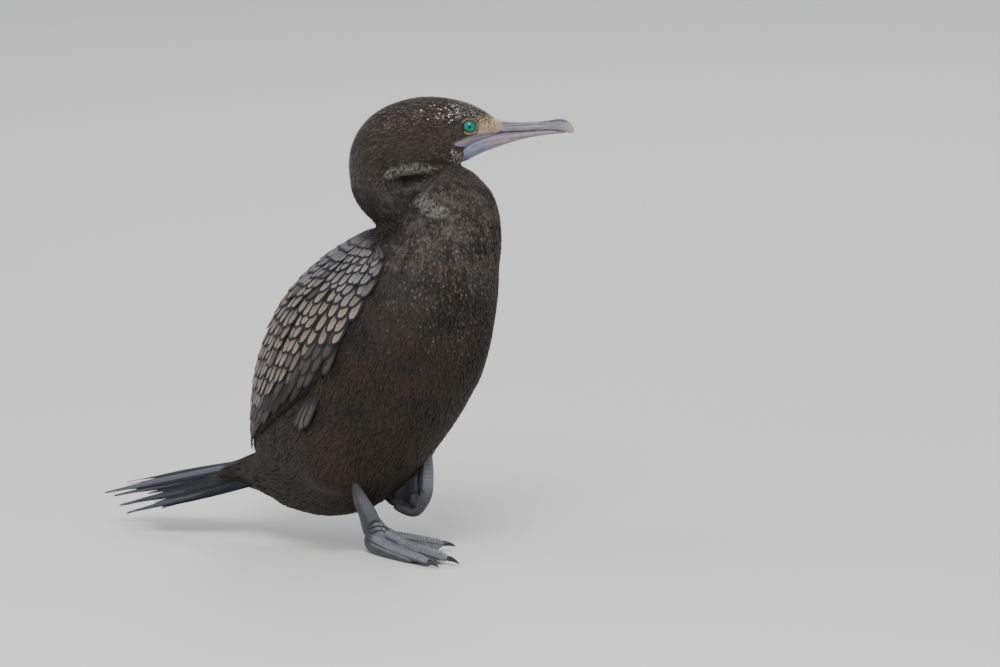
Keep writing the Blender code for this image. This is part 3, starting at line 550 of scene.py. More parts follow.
def fold_depth(points):
    """How deep the fold under the cheek is pressed in; its lip stands out, so it is negative."""
    lip, run = segment_distance(points, FOLD_LIP)
    lengths = np.linalg.norm(np.diff(FOLD_LIP, axis=0), axis=1).cumsum()
    thick = np.interp(run, np.append(0, lengths), LIP_THICK)
    depth = CREASE_DEPTH * bell(segment_distance(points, CREASE)[0], CREASE_WIDE)
    depth += VALLEY_DEPTH * bell(segment_distance(points, VALLEY)[0], VALLEY_WIDE)
    return depth - LIP_RISE * thick * bell(lip, thick * LIP_SHARE)


def shape_skin(mesh):
    points, normals = read_vertices(mesh, "co"), read_vertices(mesh, "normal")
    along, _, height = on_head(points)
    depth = OVERLAP + feather_depth(along, height) + fold_depth(points)
    depth += TAIL_SINK * slope(points[:, 0], -0.118, -0.132) * slope(points[:, 2], 0.085, 0.075)
    chin = bell(along - CHIN_ALONG, CHIN_LONG) * bell(height - CHIN_UP, CHIN_TALL)
    points += HEAD_AHEAD * (CHIN_PUSH * chin * slope(along, 0.018, 0.026))[:, None]
    flat = np.stack([along, height], 1)
    mouth, _ = segment_distance(flat, MOUTH_LINE)
    depth += MOUTH_DEPTH * bell(mouth, MOUTH_DEPTH) * (along > MOUTH_FROM)
    place_vertices(mesh, points - normals * depth[:, None])


shape_skin(skin_mesh)
print("skin faces with the fine face:", len(skin_mesh.polygons))

# %% Finish of the skin
LORE, LORE_LIGHT, FRECKLE = (0.34, 0.225, 0.125), (0.42, 0.31, 0.20), (0.05, 0.034, 0.022)
LILAC, SKIN_GREY, HORN_ROOT = (0.150, 0.150, 0.205), (0.23, 0.205, 0.205), (0.215, 0.200, 0.222)
BROW_SPOT, SOCKET = (0.06, 0.050, 0.042), (0.018, 0.014, 0.010)
SOCKET_PLACE, SOCKET_REACH = (0.0380, 0.0125, 0.2898), 0.0060
THROAT_RISE, THROAT_RISE_MOST = 0.39, 0.0168


def along_head(place):
    """How far along the head a place is, and how high, as wires."""
    moved = place.vector("SUBTRACT", tuple(HEAD_ORIGIN))
    along = moved.vector("DOT_PRODUCT", tuple(HEAD_AHEAD), output="Value")
    return along, moved.parts()[2]


def behind_horn(along, height):
    """1 where bare skin covers the root of the bill, as a wire."""
    return (along - (height - 0.2837) * 0.70).step(0.0556, 0.0546)


def freckled_lore(place, cells, along, height):
    """The sandy skin between eye and bill, with dark stipples, and grey at the root of the horn."""
    stipple = cells.step(0.42, 0.22) * place.noise(260, 2).step(0.35, 0.5)
    brow = height.step(0.2890, 0.2945) * place.noise(650, 3, 0.6).step(0.43, 0.55)
    lore = place.noise(400, 3).step(0.3, 0.7).tint(LORE, LORE_LIGHT)
    lore = (stipple * 0.9).tint(lore, FRECKLE)
    lore = (brow * 0.8).tint(lore, BROW_SPOT)
    return behind_horn(along, height).tint(HORN_ROOT, lore)


def skin_finish():
    material, place, shader = new_finish("skin_under_feathers", Specular_IOR_Level=0.25)
    along, height = along_head(place)
    rise = (along * THROAT_RISE).maths("MINIMUM", THROAT_RISE_MOST)
    under = (height - rise).step(0.2691, 0.2675)
    front = along.step(0.0415, 0.0435) * height.step(0.2972, 0.2955)
    edge = 0.0350 - height.step(0.2750, 0.2782) * 0.0075
    bare = front.maths("MAXIMUM", under * (along - edge).step(-0.0004, 0.0010))
    bare = bare * height.step(0.262, 0.266)
    cells = place.cells(750)
    lilac = place.noise(300, 2).tint(LILAC, SKIN_GREY)
    face = under.tint(freckled_lore(place, cells, along, height), lilac)
    colour = bare.tint(plumage(place), face)
    for side, _ in SIDES:
        ahead, out, up = SOCKET_PLACE
        middle = tuple(head_point(ahead, side * out, up))
        colour = patch(place, middle, (SOCKET_REACH,) * 3, 0.12).tint(colour, SOCKET)
    feed(shader, Base_Color=colour, Roughness=bare * -0.25 + 0.75,
         Normal=bumped(place.noise(1500, 3) + cells, 0.00018, 0.6))
    return material


settle("skin", skin_mesh, skin_finish(), FLESH)

# %% [markdown]
# ## How feathers are made
#
# A feather is a thin vane either side of a shaft. Hair particles would be lost in the finished
# model, so every feather here is a small closed solid: rows of points across the vane, a raised
# shaft in the middle, a flat underside and a tip. Thousands are worked out together as arrays
# and joined into one mesh. Each point also remembers how far it is from the shaft, how far along
# the vane and how far from the edge, so that a material can paint bars, borders and shafts.

# %% Many vanes in one mesh
TIP_GRAIN = (0.0, 1.0, 0.0)


def vane_faces(lines, columns):
    """The four-cornered and three-cornered faces of one closed vane, whose last point is its tip."""
    index = np.arange(lines * columns).reshape(lines, columns)
    first, last, tip = index[0], index[-1], lines * columns
    quads = []
    for low, high in zip(index, index[1:]):
        quads += [(low[k], low[k + 1], high[k + 1], high[k]) for k in range(columns - 1)]
        quads.append((low[-1], low[0], high[0], high[-1]))
    corners = [(last[k], last[k + 1], tip) for k in range(columns - 1)]
    corners.append((last[-1], last[0], tip))
    corners += [(first[0], first[k + 1], first[k]) for k in range(1, columns - 1)]
    return np.array(quads), np.array(corners)


def joined_vanes(name, rows, tips, grain, tone, cells, cell_size):
    """One mesh of closed vanes. rows[n, i, k] is point k of row i of vane n, and tips its end."""
    count, lines, columns = rows.shape[:3]
    each = lines * columns + 1
    points = np.concatenate([rows.reshape(count, -1, 3), tips[:, None]], 1)
    shift = (np.arange(count) * each)[:, None, None]
    quads, corners = (faces[None] + shift for faces in vane_faces(lines, columns))
    loops = np.concatenate([quads.ravel(), corners.ravel()]).astype(np.int32)
    fours, threes = quads.size // 4, corners.size // 3
    starts = np.concatenate([np.arange(fours) * 4, fours * 4 + np.arange(threes) * 3])

    mesh = bpy.data.meshes.new(name)
    mesh.vertices.add(count * each)
    mesh.vertices.foreach_set("co", points.astype(np.float32).ravel())
    mesh.loops.add(len(loops))
    mesh.loops.foreach_set("vertex_index", loops)
    mesh.polygons.add(len(starts))
    mesh.polygons.foreach_set("loop_start", starts.astype(np.int32))
    mesh.update(calc_edges=True)

    tip_grain = np.tile(TIP_GRAIN, (count, 1, 1))
    grains = np.concatenate([grain.reshape(count, -1, 3), tip_grain], 1)
    for key, values in (("grain", grains), ("tone", np.repeat(tone[:, None], each, 1))):
        held = mesh.attributes.new(key, "FLOAT_VECTOR", "POINT")
        held.data.foreach_set("vector", values.astype(np.float32).ravel())
    across = np.tile(np.linspace(0.04, 0.96, columns), lines)
    along = np.repeat(np.linspace(0, 0.9, lines), columns)
    share = np.stack([np.append(across, 0.5), np.append(along, 1)], 1)
    spots = (cells[:, None] + share[None] * cell_size).reshape(-1, 2)
    layer = mesh.uv_layers.new(name="OFBake")
    layer.uv.foreach_set("vector", spots[loops].astype(np.float32).ravel())
    mesh.validate()
    return mesh


# %% [markdown]
# ## The lie of the plumage
#
# Feathers point the way that water runs off a swimming bird: back from the bill over the head,
# down the neck and breast, and back along the belly to the tail. A few guides state the way at
# places that are easy to name. Every other place takes a blend of the near ones, laid flat on
# the skin.

# %% Guides for the lie
LIE = (
    (head_point(0.050, 0, 0.295), -HEAD_AHEAD),
    (head_point(0.000, 0, 0.306), -HEAD_AHEAD),
    (head_point(0.035, -0.015, 0.270), -HEAD_AHEAD + (0, 0, -0.35)),
    (head_point(0.035, 0.015, 0.270), -HEAD_AHEAD + (0, 0, -0.35)),
    (head_point(-0.020, -0.018, 0.282), -HEAD_AHEAD + (0, 0, -0.55)),
    (head_point(-0.020, 0.018, 0.282), -HEAD_AHEAD + (0, 0, -0.55)),
    (head_point(-0.038, 0, 0.275), -HEAD_AHEAD * 0.2 + (0, 0, -1)),
    (head_point(0.020, 0, 0.258), -HEAD_AHEAD + (0, 0, -0.2)),
    (MIDLINE + (-0.050, -0.020, 0.255), (0.05, 0, -1)),
    (MIDLINE + (-0.040, -0.018, 0.228), (0.6, 0.3, -0.8)),
    (MIDLINE + (-0.012, -0.024, 0.225), (0.9, 0.1, -0.5)),
    (MIDLINE + (0.030, -0.020, 0.250), (0.5, -0.3, -0.8)),
    (MIDLINE + (0.045, 0.012, 0.240), (0.1, 0, -1)),
    (MIDLINE + (0.014, 0.045, 0.235), (0.1, 0.1, -1)),
    (MIDLINE + (0.014, -0.035, 0.225), (-0.1, -0.1, -1)),
    (MIDLINE + (0.060, 0, 0.190), (-0.05, 0, -1)),
    (MIDLINE + (0.045, 0, 0.120), (-0.25, 0, -1)),
    (MIDLINE + (0.000, 0, 0.055), (-0.75, 0, -0.7)),
    (MIDLINE + (-0.060, 0, 0.018), (-1, 0, -0.1)),
    (MIDLINE + (-0.030, -0.058, 0.140), (-0.30, 0, -1)),
    (MIDLINE + (-0.030, 0.058, 0.140), (-0.30, 0, -1)),
    (MIDLINE + (-0.060, -0.055, 0.080), (-0.6, 0, -0.8)),
    (MIDLINE + (-0.060, 0.055, 0.080), (-0.6, 0, -0.8)),
    (MIDLINE + (-0.050, 0, 0.215), (-0.7, 0, -0.7)),
    (MIDLINE + (-0.110, 0, 0.150), (-0.3, 0, -1)),
    (MIDLINE + (-0.135, -0.004, 0.060), (-1, -0.15, -0.5)),
    (MIDLINE + (-0.120, -0.020, 0.035), (-1, -0.2, 0.0)),
)
GUIDE_REACH = 0.006


def lie_at(points, normals):
    """The way that feathers point, flat on the skin."""
    way = np.zeros_like(points)
    for place, direction in LIE:
        near = ((points - place) ** 2).sum(1) + GUIDE_REACH**2
        way += unit(np.array(direction, float)) / (near**2)[:, None]
    way -= normals * (way * normals).sum(1)[:, None]
    return unit(way)


# %% The skin as arrays
def triangles_of(mesh):
    mesh.calc_loop_triangles()
    corners = np.empty(len(mesh.loop_triangles) * 3, np.int32)
    mesh.loop_triangles.foreach_get("vertices", corners)
    return corners.reshape(-1, 3)


skin_points, skin_normals = (read_vertices(skin_mesh, key) for key in ("co", "normal"))
skin_triangles = triangles_of(skin_mesh)
skin_tree = BVHTree.FromPolygons(skin_points.tolist(), skin_triangles.tolist())
draw = np.random.default_rng(7)


def nearest_on_skin(points):
    places, normals = np.empty_like(points), np.empty_like(points)
    for k, point in enumerate(points):
        places[k], normals[k] = skin_tree.find_nearest(point)[:2]
    return places, normals


# %% Places for feathers, spread evenly over the skin
CROWDING = 3.0


def thinned(points, gaps):
    """Which of the points to keep, so that none is nearer to one kept before it than its gap."""
    tree = KDTree(len(points))
    for k, point in enumerate(points):
        tree.insert(point, k)
    tree.balance()
    free, kept = np.ones(len(points), bool), []
    for k, gap in enumerate(gaps):
        if free[k]:
            kept.append(k)
            for _, near, _ in tree.find_range(points[k], gap):
                free[near] = False
    return kept


def scattered(wanted, spacing):
    """Random places on the skin where wanted is true, no nearer to each other than spacing says."""
    a, b, c = (skin_points[skin_triangles[:, k]] for k in range(3))
    middle = (a + b + c) / 3
    area = np.linalg.norm(np.cross(b - a, c - a), axis=1) / 2 * wanted(middle)
    gap = spacing(middle)
    chance = area / gap**2
    total = int(chance.sum() * CROWDING)
    chosen = draw.choice(len(area), total, p=chance / chance.sum())
    u, v = draw.random(total), draw.random(total)
    over = u + v > 1
    u[over], v[over] = 1 - u[over], 1 - v[over]
    weights = np.stack([1 - u - v, u, v], 1)
    points = (np.stack([a, b, c], 1)[chosen] * weights[:, :, None]).sum(1)
    normals = unit((skin_normals[skin_triangles[chosen]] * weights[:, :, None]).sum(1))
    kept = thinned(points, gap[chosen])
    return points[kept], normals[kept]


# %% Feathers laid on the skin
# How far down a feather each row lies, and its share of the width.
OUTLINE = ((0.0, 0.55), (0.42, 1.0), (0.80, 0.78))
SWING, ROOT_SUNK, SHAFT_RISE, SPOT_SIZE = 0.12, 0.0006, 0.00016, 0.003
OFF_SKIN = 0.35
THIRDS = np.array((-1.0, 0.0, 1.0))
AXIS_HEIGHTS, AXIS_AHEAD = (0.02, 0.10, 0.17, 0.22, 0.30), (-0.08, -0.05, -0.02, 0.01, 0.0)


def vane_grain(half, t, length, from_side):
    """For a row at t: off the shaft and in from the edge, in millimetres, with t between them."""
    inset = np.minimum(from_side, ((1 - t) * length)[:, None])
    return np.stack([half * 1000, np.full(half.shape, t), inset * 1000], 2)


def lay_feathers(name, roots, normals, length, width, lift, tone, spots, turn=SWING, outline=OUTLINE):
    """Closed feathers that start in the skin at roots and follow it down its lie to their tips."""
    count = len(roots)
    way = lie_at(roots, normals)
    way = unit(way + np.cross(way, normals) * draw.normal(0, turn, count)[:, None])
    targets = roots + way * length[:, None]
    ends, end_normals = nearest_on_skin(targets)
    beyond = np.linalg.norm(ends - targets, axis=1) > OFF_SKIN * length
    ends[beyond], end_normals[beyond] = targets[beyond], normals[beyond]
    end_normals = unit(end_normals + normals * 0.5)
    start = roots - normals * ROOT_SUNK
    middle = (roots + ends) / 2 + (normals + end_normals) / 2 * lift[:, None] * 1.1
    finish = ends + end_normals * (lift * draw.uniform(0.75, 1.25, count))[:, None]

    def curve(t):
        return start * (1 - t) ** 2 + middle * 2 * t * (1 - t) + finish * t**2

    rows, grain = [], []
    for t, share in outline:
        here, ahead = curve(t), unit(curve(t + 0.02) - curve(t - 0.02))
        out = unit(normals * (1 - t) + end_normals * t)
        across = unit(np.cross(ahead, out))
        half = (width / 2 * share)[:, None] * THIRDS
        raised = SHAFT_RISE * (1 - abs(THIRDS))
        rows.append(here[:, None] + across[:, None] * half[:, :, None]
                    + out[:, None] * raised[None, :, None])
        grain.append(vane_grain(half, t, length, (width / 2 * share)[:, None] * (1 - abs(THIRDS))))
    return joined_vanes(name, np.stack(rows, 1), curve(1.0), np.stack(grain, 1), tone, spots, SPOT_SIZE)


def around_body(points):
    """Where a place is on an unwrap of the skin round the bird's upright axis, from 0 to 1."""
    axis_ahead = np.interp(points[:, 2], AXIS_HEIGHTS, AXIS_AHEAD)
    turn = np.arctan2(points[:, 1] - MIDLINE[1], points[:, 0] - MIDLINE[0] - axis_ahead)
    return np.stack([(turn / (2 * math.pi) + 0.5) * 0.99, points[:, 2] / 0.32], 1) * 0.985 + 0.005


# %% [markdown]
# ## The coat
#
# Body feathers are soft and overlap like shingles. They are under two millimetres long round the
# bill, three or four on the head, and eight or nine on the breast and belly. The spacing follows
# the same order. None are laid where the face is bare or under the wings, where nothing would
# show.

# %% Finish of the coat
SHEEN_TINT = (0.80, 0.78, 0.78, 1.0)
TIP_BROWN, FRINGE_TAN, FLECK_WHITE = (0.12, 0.095, 0.075), (0.25, 0.205, 0.165), (0.66, 0.65, 0.61)


def coat_finish(name, sheen, lucky):
    """The coat's finish; lucky is the colour that chance gives to some of the feathers."""
    material, place, shader = new_finish(name, Specular_IOR_Level=0.18, Sheen_Weight=sheen,
                                         Sheen_Roughness=0.45, Sheen_Tint=SHEEN_TINT)
    across, share, _ = place.stored("grain")
    luck, fleck, pale = place.stored("tone")
    colour = (luck.step(0.3, 1.0) * 0.40).tint(plumage(place), lucky)
    colour = ((1 - luck).step(0.45, 1.0) * 0.45).tint(colour, SOOT)
    colour = (share.step(0.6, 1.0) * luck * 0.16).tint(colour, TIP_BROWN)
    colour = (abs(across).step(0.12, 0.04) * 0.3).tint(colour, SOOT)
    colour = (pale * share.step(0.50, 0.80)).tint(colour, FRINGE_TAN)
    colour = (fleck * share.step(0.55, 0.70)).tint(colour, FLECK_WHITE)
    barbs = (abs(across) * 5.5 + share * 46).maths("SINE")
    feed(shader, Base_Color=colour, Roughness=0.64 + barbs * 0.03,
         Normal=bumped(barbs, 0.00005, 0.5))
    return material


# %% The torso and the wing's front edge
# Heights of the edge, and how far round from the bird's front it lies there, in degrees.
WING_HEIGHTS = (0.0570, 0.0770, 0.0930, 0.1120, 0.1310, 0.1530, 0.1730, 0.1930, 0.2075, 0.2130)
WING_ANGLES = (156.0, 130.0, 111.0, 94.0, 85.0, 82.0, 80.5, 81.0, 88.0, 118.0)
WING_MARGIN, UNDER_WING_FROM, UNDER_WING_TO = 9.0, 0.062, 0.2115
# Sections of the torso: height, middle, and how far it reaches ahead, behind and to each side.
TORSO = (
    (0.0180, -0.084, 0.014, 0.018, 0.012), (0.0255, -0.081, 0.036, 0.040, 0.025),
    (0.0390, -0.076, 0.0475, 0.056, 0.037), (0.0650, -0.068, 0.0655, 0.066, 0.050),
    (0.1000, -0.053, 0.0775, 0.076, 0.058), (0.1340, -0.042, 0.083, 0.078, 0.059),
    (0.1690, -0.028, 0.077, 0.072, 0.056), (0.1930, -0.013, 0.064, 0.062, 0.051),
    (0.2080, -0.006, 0.052, 0.048, 0.043), (0.2180, -0.002, 0.041, 0.038, 0.033),
    (0.2240, 0.002, 0.028, 0.026, 0.022),
)


def read_table(height, rows):
    """The columns of a table, after its first, at the heights."""
    rows = np.asarray(rows)
    return [np.interp(height, rows[:, 0], column) for column in rows[:, 1:].T]


def under_wing(points):
    """True where the folded wing covers the torso, by more than the margin in degrees."""
    body = points - MIDLINE
    x, y, height = body[:, 0], np.abs(body[:, 1]), body[:, 2]
    middle, ahead, behind, half = read_table(height, TORSO)
    x = x - middle
    angle = np.degrees(np.arctan2(y / half, x / np.where(x > 0, ahead, behind)))
    edge = np.interp(height, WING_HEIGHTS, WING_ANGLES)
    return (angle > edge + WING_MARGIN) & (height > UNDER_WING_FROM) & (height < UNDER_WING_TO)


# %% Which places carry which feathers
EYE_ALONG, EYE_SIDE, EYE_HEIGHT, EYE_RADIUS = 0.0380, 0.0108, 0.2898, 0.0052
EYE_CLEAR, LORE_CLEAR = 0.0061, 0.0071
# Where the bare face begins: height, and how far along the head.
FACE_EDGE = (
    (0.2620, 0.0330), (0.2655, 0.0350), (0.2680, 0.0360), (0.2720, 0.0345), (0.2750, 0.0300),
    (0.2771, 0.0273), (0.2790, 0.0278), (0.2804, 0.0290), (0.2827, 0.0333), (0.2842, 0.0384),
    (0.2853, 0.0425), (0.2900, 0.0440), (0.2935, 0.0455), (0.2950, 0.0500), (0.2965, 0.0540),
    (0.2990, 0.0575), (0.3100, 0.0600),
)
FACE_BOTTOM, FACE_HALF, LORE_FROM, LORE_TO, LORE_BOTTOM = 0.262, 0.02, 0.042, 0.0560, 0.2702
HEAD_BOTTOM, HEAD_BACK, HEAD_HALF, NECK_BOTTOM, BODY_BACK = 0.250, -0.045, 0.024, 0.205, -0.1385


def near_eye(along, height, reach):
    return np.hypot(along - EYE_ALONG, height - EYE_HEIGHT) < reach


def bare_face(points):
    along, side, height = on_head(points)
    lobe, = read_table(height, FACE_EDGE)
    bare = (along > lobe) | (near_eye(along, height, EYE_CLEAR) & (along > 0.03))
    return (height > FACE_BOTTOM) & (np.abs(side) < FACE_HALF) & bare


def on_the_lore(points):
    along, _, height = on_head(points)
    above = height > LORE_BOTTOM + np.minimum(along * THROAT_RISE, THROAT_RISE_MOST)
    lore = above & (along < LORE_TO) & (along > LORE_FROM)
    return bare_face(points) & lore & ~near_eye(along, height, LORE_CLEAR)


def on_the_head(points):
    along, side, height = on_head(points)
    near = (height > HEAD_BOTTOM) & (along > HEAD_BACK) & (np.abs(side) < HEAD_HALF)
    return near & ~bare_face(points)


def on_the_neck(points):
    return (points[:, 2] > NECK_BOTTOM) & ~on_the_head(points) & ~bare_face(points)


def on_the_body(points):
    return (points[:, 2] <= NECK_BOTTOM) & (points[:, 0] > BODY_BACK) & ~under_wing(points)


# %% Luck, flecks and pale tips of the coat
def head_tone(points):
    """Random lightness, white flecks behind and above the eye, and pale forehead tips."""
    along, _, height = on_head(points)
    chance = draw.random((len(points), 3))
    behind_eye = slope(along, 0.008, 0.015) * slope(along, 0.035, 0.030)
    behind_eye *= slope(height, 0.2925, 0.2955) * slope(height, 0.3040, 0.3015)
    brow = slope(along, 0.024, 0.034) * slope(height, 0.2935, 0.2960)
    fleck = (chance[:, 1] < 0.20 * behind_eye) * 0.95
    fleck = np.maximum(fleck, (chance[:, 1] < 0.75 * brow) * (0.16 + 0.28 * chance[:, 2]))
    fringe = slope(along, 0.0255, 0.0300)
    fringe *= slope(height, 0.2795, 0.2770) * slope(height, 0.2640, 0.2665)
    fleck = np.maximum(fleck, (chance[:, 2] < 0.90 * fringe) * (0.30 + 0.35 * chance[:, 1]))
    crown = slope(height, 0.285, 0.298) * (chance[:, 0] > 0.55) * (0.10 + 0.30 * chance[:, 2])
    cheek = slope(along, -0.005, 0.022) * slope(height, 0.290, 0.282)
    pale = (chance[:, 2] < 0.08 + 0.22 * cheek) * (0.15 + 0.35 * cheek) * (0.4 + 0.6 * chance[:, 1])
    pale += 0.50 * fringe * (0.6 + 0.4 * chance[:, 1]) + crown
    return np.stack([chance[:, 0], fleck, np.clip(pale, 0, 0.9)], 1)


def body_tone(points):
    chance = draw.random((len(points), 3))
    breast = slope(points[:, 2], 0.13, 0.215) * slope(points[:, 0], -0.005, 0.03)
    breast *= 0.4 + 0.6 * slope(points[:, 0], 0.015, 0.045)
    pale = (chance[:, 2] < 0.60 * breast) * (0.04 + 0.30 * chance[:, 1] ** 2)
    return np.stack([chance[:, 0], np.zeros(len(points)), pale], 1)


def lore_tone(points):
    chance = draw.random((len(points), 3))
    return np.stack([chance[:, 0] * 0.3, np.zeros(len(points)), (chance[:, 2] < 0.25) * 0.8], 1)


# %% How far apart the feathers stand
def head_gap(points):
    return 0.00118 - 0.00040 * slope(on_head(points)[0], 0.0, 0.036)


def lore_gap(points):
    return np.full(len(points), 0.00115)


def neck_gap(points):
    return 0.00105 + 0.00025 * slope(points[:, 2], 0.24, 0.21)


def body_gap(points):
    return 0.00130 + 0.00025 * slope(points[:, 2], 0.18, 0.10)


# %% Lay the coat
coat = coat_finish("coat_feathers", 0.03, (0.036, 0.027, 0.018))
velvet = coat_finish("head_velvet", 0.30, (0.085, 0.072, 0.062))
FLUFF_WIDE, HEAD_PARTING, FEATHER_EDGE = 0.0045, 0.004, 50
WHOLE = (("", lambda points: points[:, 2] > 0),)
FRONT_AND_BACK = (("_back", lambda points: on_head(points)[0] < HEAD_PARTING),
                  ("_front", lambda points: on_head(points)[0] >= HEAD_PARTING))
HALVES = (("_right", lambda points: points[:, 1] < MIDLINE[1]),
          ("_left", lambda points: points[:, 1] >= MIDLINE[1]))


def add_coat(name, paint, wanted, spacing, tones, long, wide, proud, shares=WHOLE):
    """Lays a coat where wanted is true; shares splits it into pieces by place."""
    roots, normals = scattered(wanted, spacing)
    gap = spacing(roots) * draw.uniform(0.85, 1.15, len(roots))
    fluff = bell(segment_distance(roots, FOLD_LIP)[0], FLUFF_WIDE)
    tail_base = slope(roots[:, 0], -0.108, -0.130) * slope(roots[:, 2], 0.075, 0.060)
    nape = slope(on_head(roots)[0], -0.005, -0.03) * slope(roots[:, 2], 0.255, 0.275)
    length = gap * long * (1 + 0.5 * fluff + 1.5 * tail_base + 0.9 * nape)
    width = gap * wide * (1 + 0.8 * tail_base)
    lift = proud + 0.0010 * fluff + 0.0004 * nape
    arrays = (roots, normals, length, width, lift, tones(roots), around_body(roots))
    for word, chosen in shares:
        own = chosen(roots)
        mesh = lay_feathers(name + word, *(values[own] for values in arrays))
        settle(name + word, mesh, paint, sharp=FEATHER_EDGE)


add_coat("coat_head", velvet, on_the_head, head_gap, head_tone, 3.2, 0.95, 0.00055,
         FRONT_AND_BACK)
add_coat("coat_lore", velvet, on_the_lore, lore_gap, lore_tone, 1.15, 0.50, 0.00025)
add_coat("coat_neck", coat, on_the_neck, neck_gap, body_tone, 4.2, 1.20, 0.0008,
         HALVES)
add_coat("coat_body", coat, on_the_body, body_gap, body_tone, 4.4, 1.30, 0.0009, HALVES)

# %% [markdown]
# ## Folded wings
#
# A folded wing is a stack of overlapping tiers: small scapulars at the shoulder, then coverts
# that grow longer tier by tier, then the dark flight feathers that end at the tail. Each feather
# of the upper tiers is pale grey to tan with a near-black border, which gives the scaly look. The
# border is drawn wide enough to carry painted shade where the feathers overlap, and painted shade
# darkens a line along the scapulars' edge and a few coverts at random.
# Modelling the tiers as real vanes, each bent to the wing's surface, keeps that look from any
# side. A dark bed under them closes the gaps between the vanes, and one column of broad back
# feathers covers the line where the two wings meet.

# %% The surface of a folded wing
WING_TOP, WING_BOTTOM, WING_BACK, WING_LIFT = 0.2150, 0.0550, 176.0, 0.0042
TORSO_FINE = smooth_rows(TORSO, 160)
EDGE_FINE = smooth_rows(list(zip(WING_HEIGHTS, WING_ANGLES)), 120)
RIM_SHARP, SHOULDER_SOFTER, BED_SINK = 6.0, 3.2, 0.0012
WIDTH_STEPS, WIDTH_LIFT = 24, 0.003


def height_at(down):
    return WING_TOP + (WING_BOTTOM - WING_TOP) * down


def front_edge(down):
    """How far round the body the wing's front edge lies, in degrees."""
    return read_table(height_at(down), EDGE_FINE)[0]


def wing_surface(down, across, lift, side):
    """Points over the torso: down from shoulder to tip, across from the back to the front edge."""
    height = height_at(down)
    middle, ahead, behind, half = read_table(height, TORSO_FINE)
    angle = np.radians(WING_BACK + (front_edge(down) - WING_BACK) * across)
    reach = np.where(np.cos(angle) > 0, ahead, behind) + lift
    x, y = middle + reach * np.cos(angle), side * (half + lift) * np.sin(angle)
    return MIDLINE + np.stack([x, y, height], -1)


def wing_bed_lift(down, across):
    """How high the wing swells over the torso: full in the middle and thin at its rim."""
    sharp = RIM_SHARP - SHOULDER_SOFTER * slope(np.asarray(down), 0.50, 0.30) * (across > 0.5)
    rim = 1 - np.abs(2 * np.clip(across, 0, 1) - 1) ** sharp
    rim = np.clip(rim, 0, 1) ** (0.5 + 0.08 * (RIM_SHARP - sharp))
    ends = np.minimum(1, (1 - down) * 2.6 + 0.2) * np.minimum(1, down * 10 + 0.3)
    return WING_LIFT * rim * np.clip(ends, 0, 1) - BED_SINK


def wing_width(down):
    """How wide the wing is there, over its curve."""
    across = np.linspace(0, 1, WIDTH_STEPS)
    points = wing_surface(np.full(WIDTH_STEPS, down), across, WIDTH_LIFT, 1)
    return np.linalg.norm(np.diff(points, axis=0), axis=1).sum()


# %% Tiers of the wing
# Where each tier ends down the wing, from 0 at the shoulder to 1, and how far apart its feathers
# are, in metres.
TIER_ENDS = (0.032, 0.060, 0.091, 0.126, 0.168, 0.216, 0.268, 0.322, 0.378, 0.436, 0.495, 0.556, 0.620,
             0.686, 0.752, 0.818, 0.886, 0.955)
TIER_PITCH = (0.0040, 0.0043, 0.0048, 0.0057, 0.0068, 0.0076, 0.0079, 0.0079, 0.0077, 0.0073, 0.0067,
              0.0061, 0.0056, 0.0051, 0.0048, 0.0047, 0.0050, 0.0053)
# How much longer a feather is than its tier, how pale the lowest tiers are, and how dark a few
# feathers of the rest turn by chance, as painted shade among the overlapping tufts.
TIER_REACH, LAST_TIERS, LAST_PALE = 2.2, 0.78, (0.08, 0.22)
SHADED_ODD_ONES, ODD_PALE = 0.06, 0.30
# Where the scapulars' edge crosses the wing, darkened along it as painted shade, and then the back feathers
# and the flight feathers.
PARTING, PARTING_SHADE_WIDE = 0.650, 0.022
MANTLE_MIDDLE, MANTLE_WIDE, MANTLE_REACH, MANTLE_DARK = -0.046, 0.0125, 2.4, 0.7
QUILL_COUNT, QUILL_WIDE, QUILL_LONG, QUILL_END, QUILL_PALE = 14, 0.0082, 0.46, 1.030, 0.10


def paleness(end, across, chance):
    """How pale a feather that ends there is: dark at the shoulder's top, the front and the tip, and
    darkened as painted shade along the scapulars' edge.
    """
    front = slope(across, 0.74, 0.86) * slope(end, 0.40, 0.50)
    low = slope(end, 0.62, 0.74) * slope(across, 0.66, 0.80)
    high = slope(end, 0.10, 0.03) * 0.55
    high += 0.5 * slope(across, 0.88, 0.98) * slope(end, 0.34, 0.26)
    parting_shade = slope(end, 0.15, 0.20) * slope(end, 0.47, 0.42) * bell(across - PARTING, PARTING_SHADE_WIDE)
    return (1 - 0.90 * front) * (1 - 0.92 * low) * (1 - high) * chance * (1 - 0.92 * parting_shade)


# %% Coverts, back feathers and flight feathers
def covert_rows():
    """Start, end, place across, width, paleness and ashiness of each covert of a wing."""
    made = []
    for tier, (end, pitch) in enumerate(zip(TIER_ENDS, TIER_PITCH)):
        before = TIER_ENDS[tier - 1] if tier else 0.006
        long = min((end - before) * TIER_REACH + 0.01, end + 0.012)
        count = int(wing_width(end) / pitch)
        for k in range(count + 1):
            share = (k + 0.5 * (tier % 2) + 0.3) / (count + 1)
            across = share**0.88 * 0.985 + 0.01 + draw.normal(0, 0.12) / count
            shift = draw.normal(0, 0.13) * (end - before)
            pale = paleness(end, across, draw.uniform(0.70, 1.0))
            pale *= ODD_PALE if draw.random() < SHADED_ODD_ONES else 1.0
            ashy = np.clip(slope(end, 0.36, 0.16) + draw.normal(0, 0.18), 0, 1)
            pale = draw.uniform(*LAST_PALE) if end > LAST_TIERS else pale
            width = pitch * draw.uniform(1.00, 1.16) * 0.88 * share**-0.12
            made.append((end + shift - long, end + shift, across, width, pale, ashy, 0))
    return made


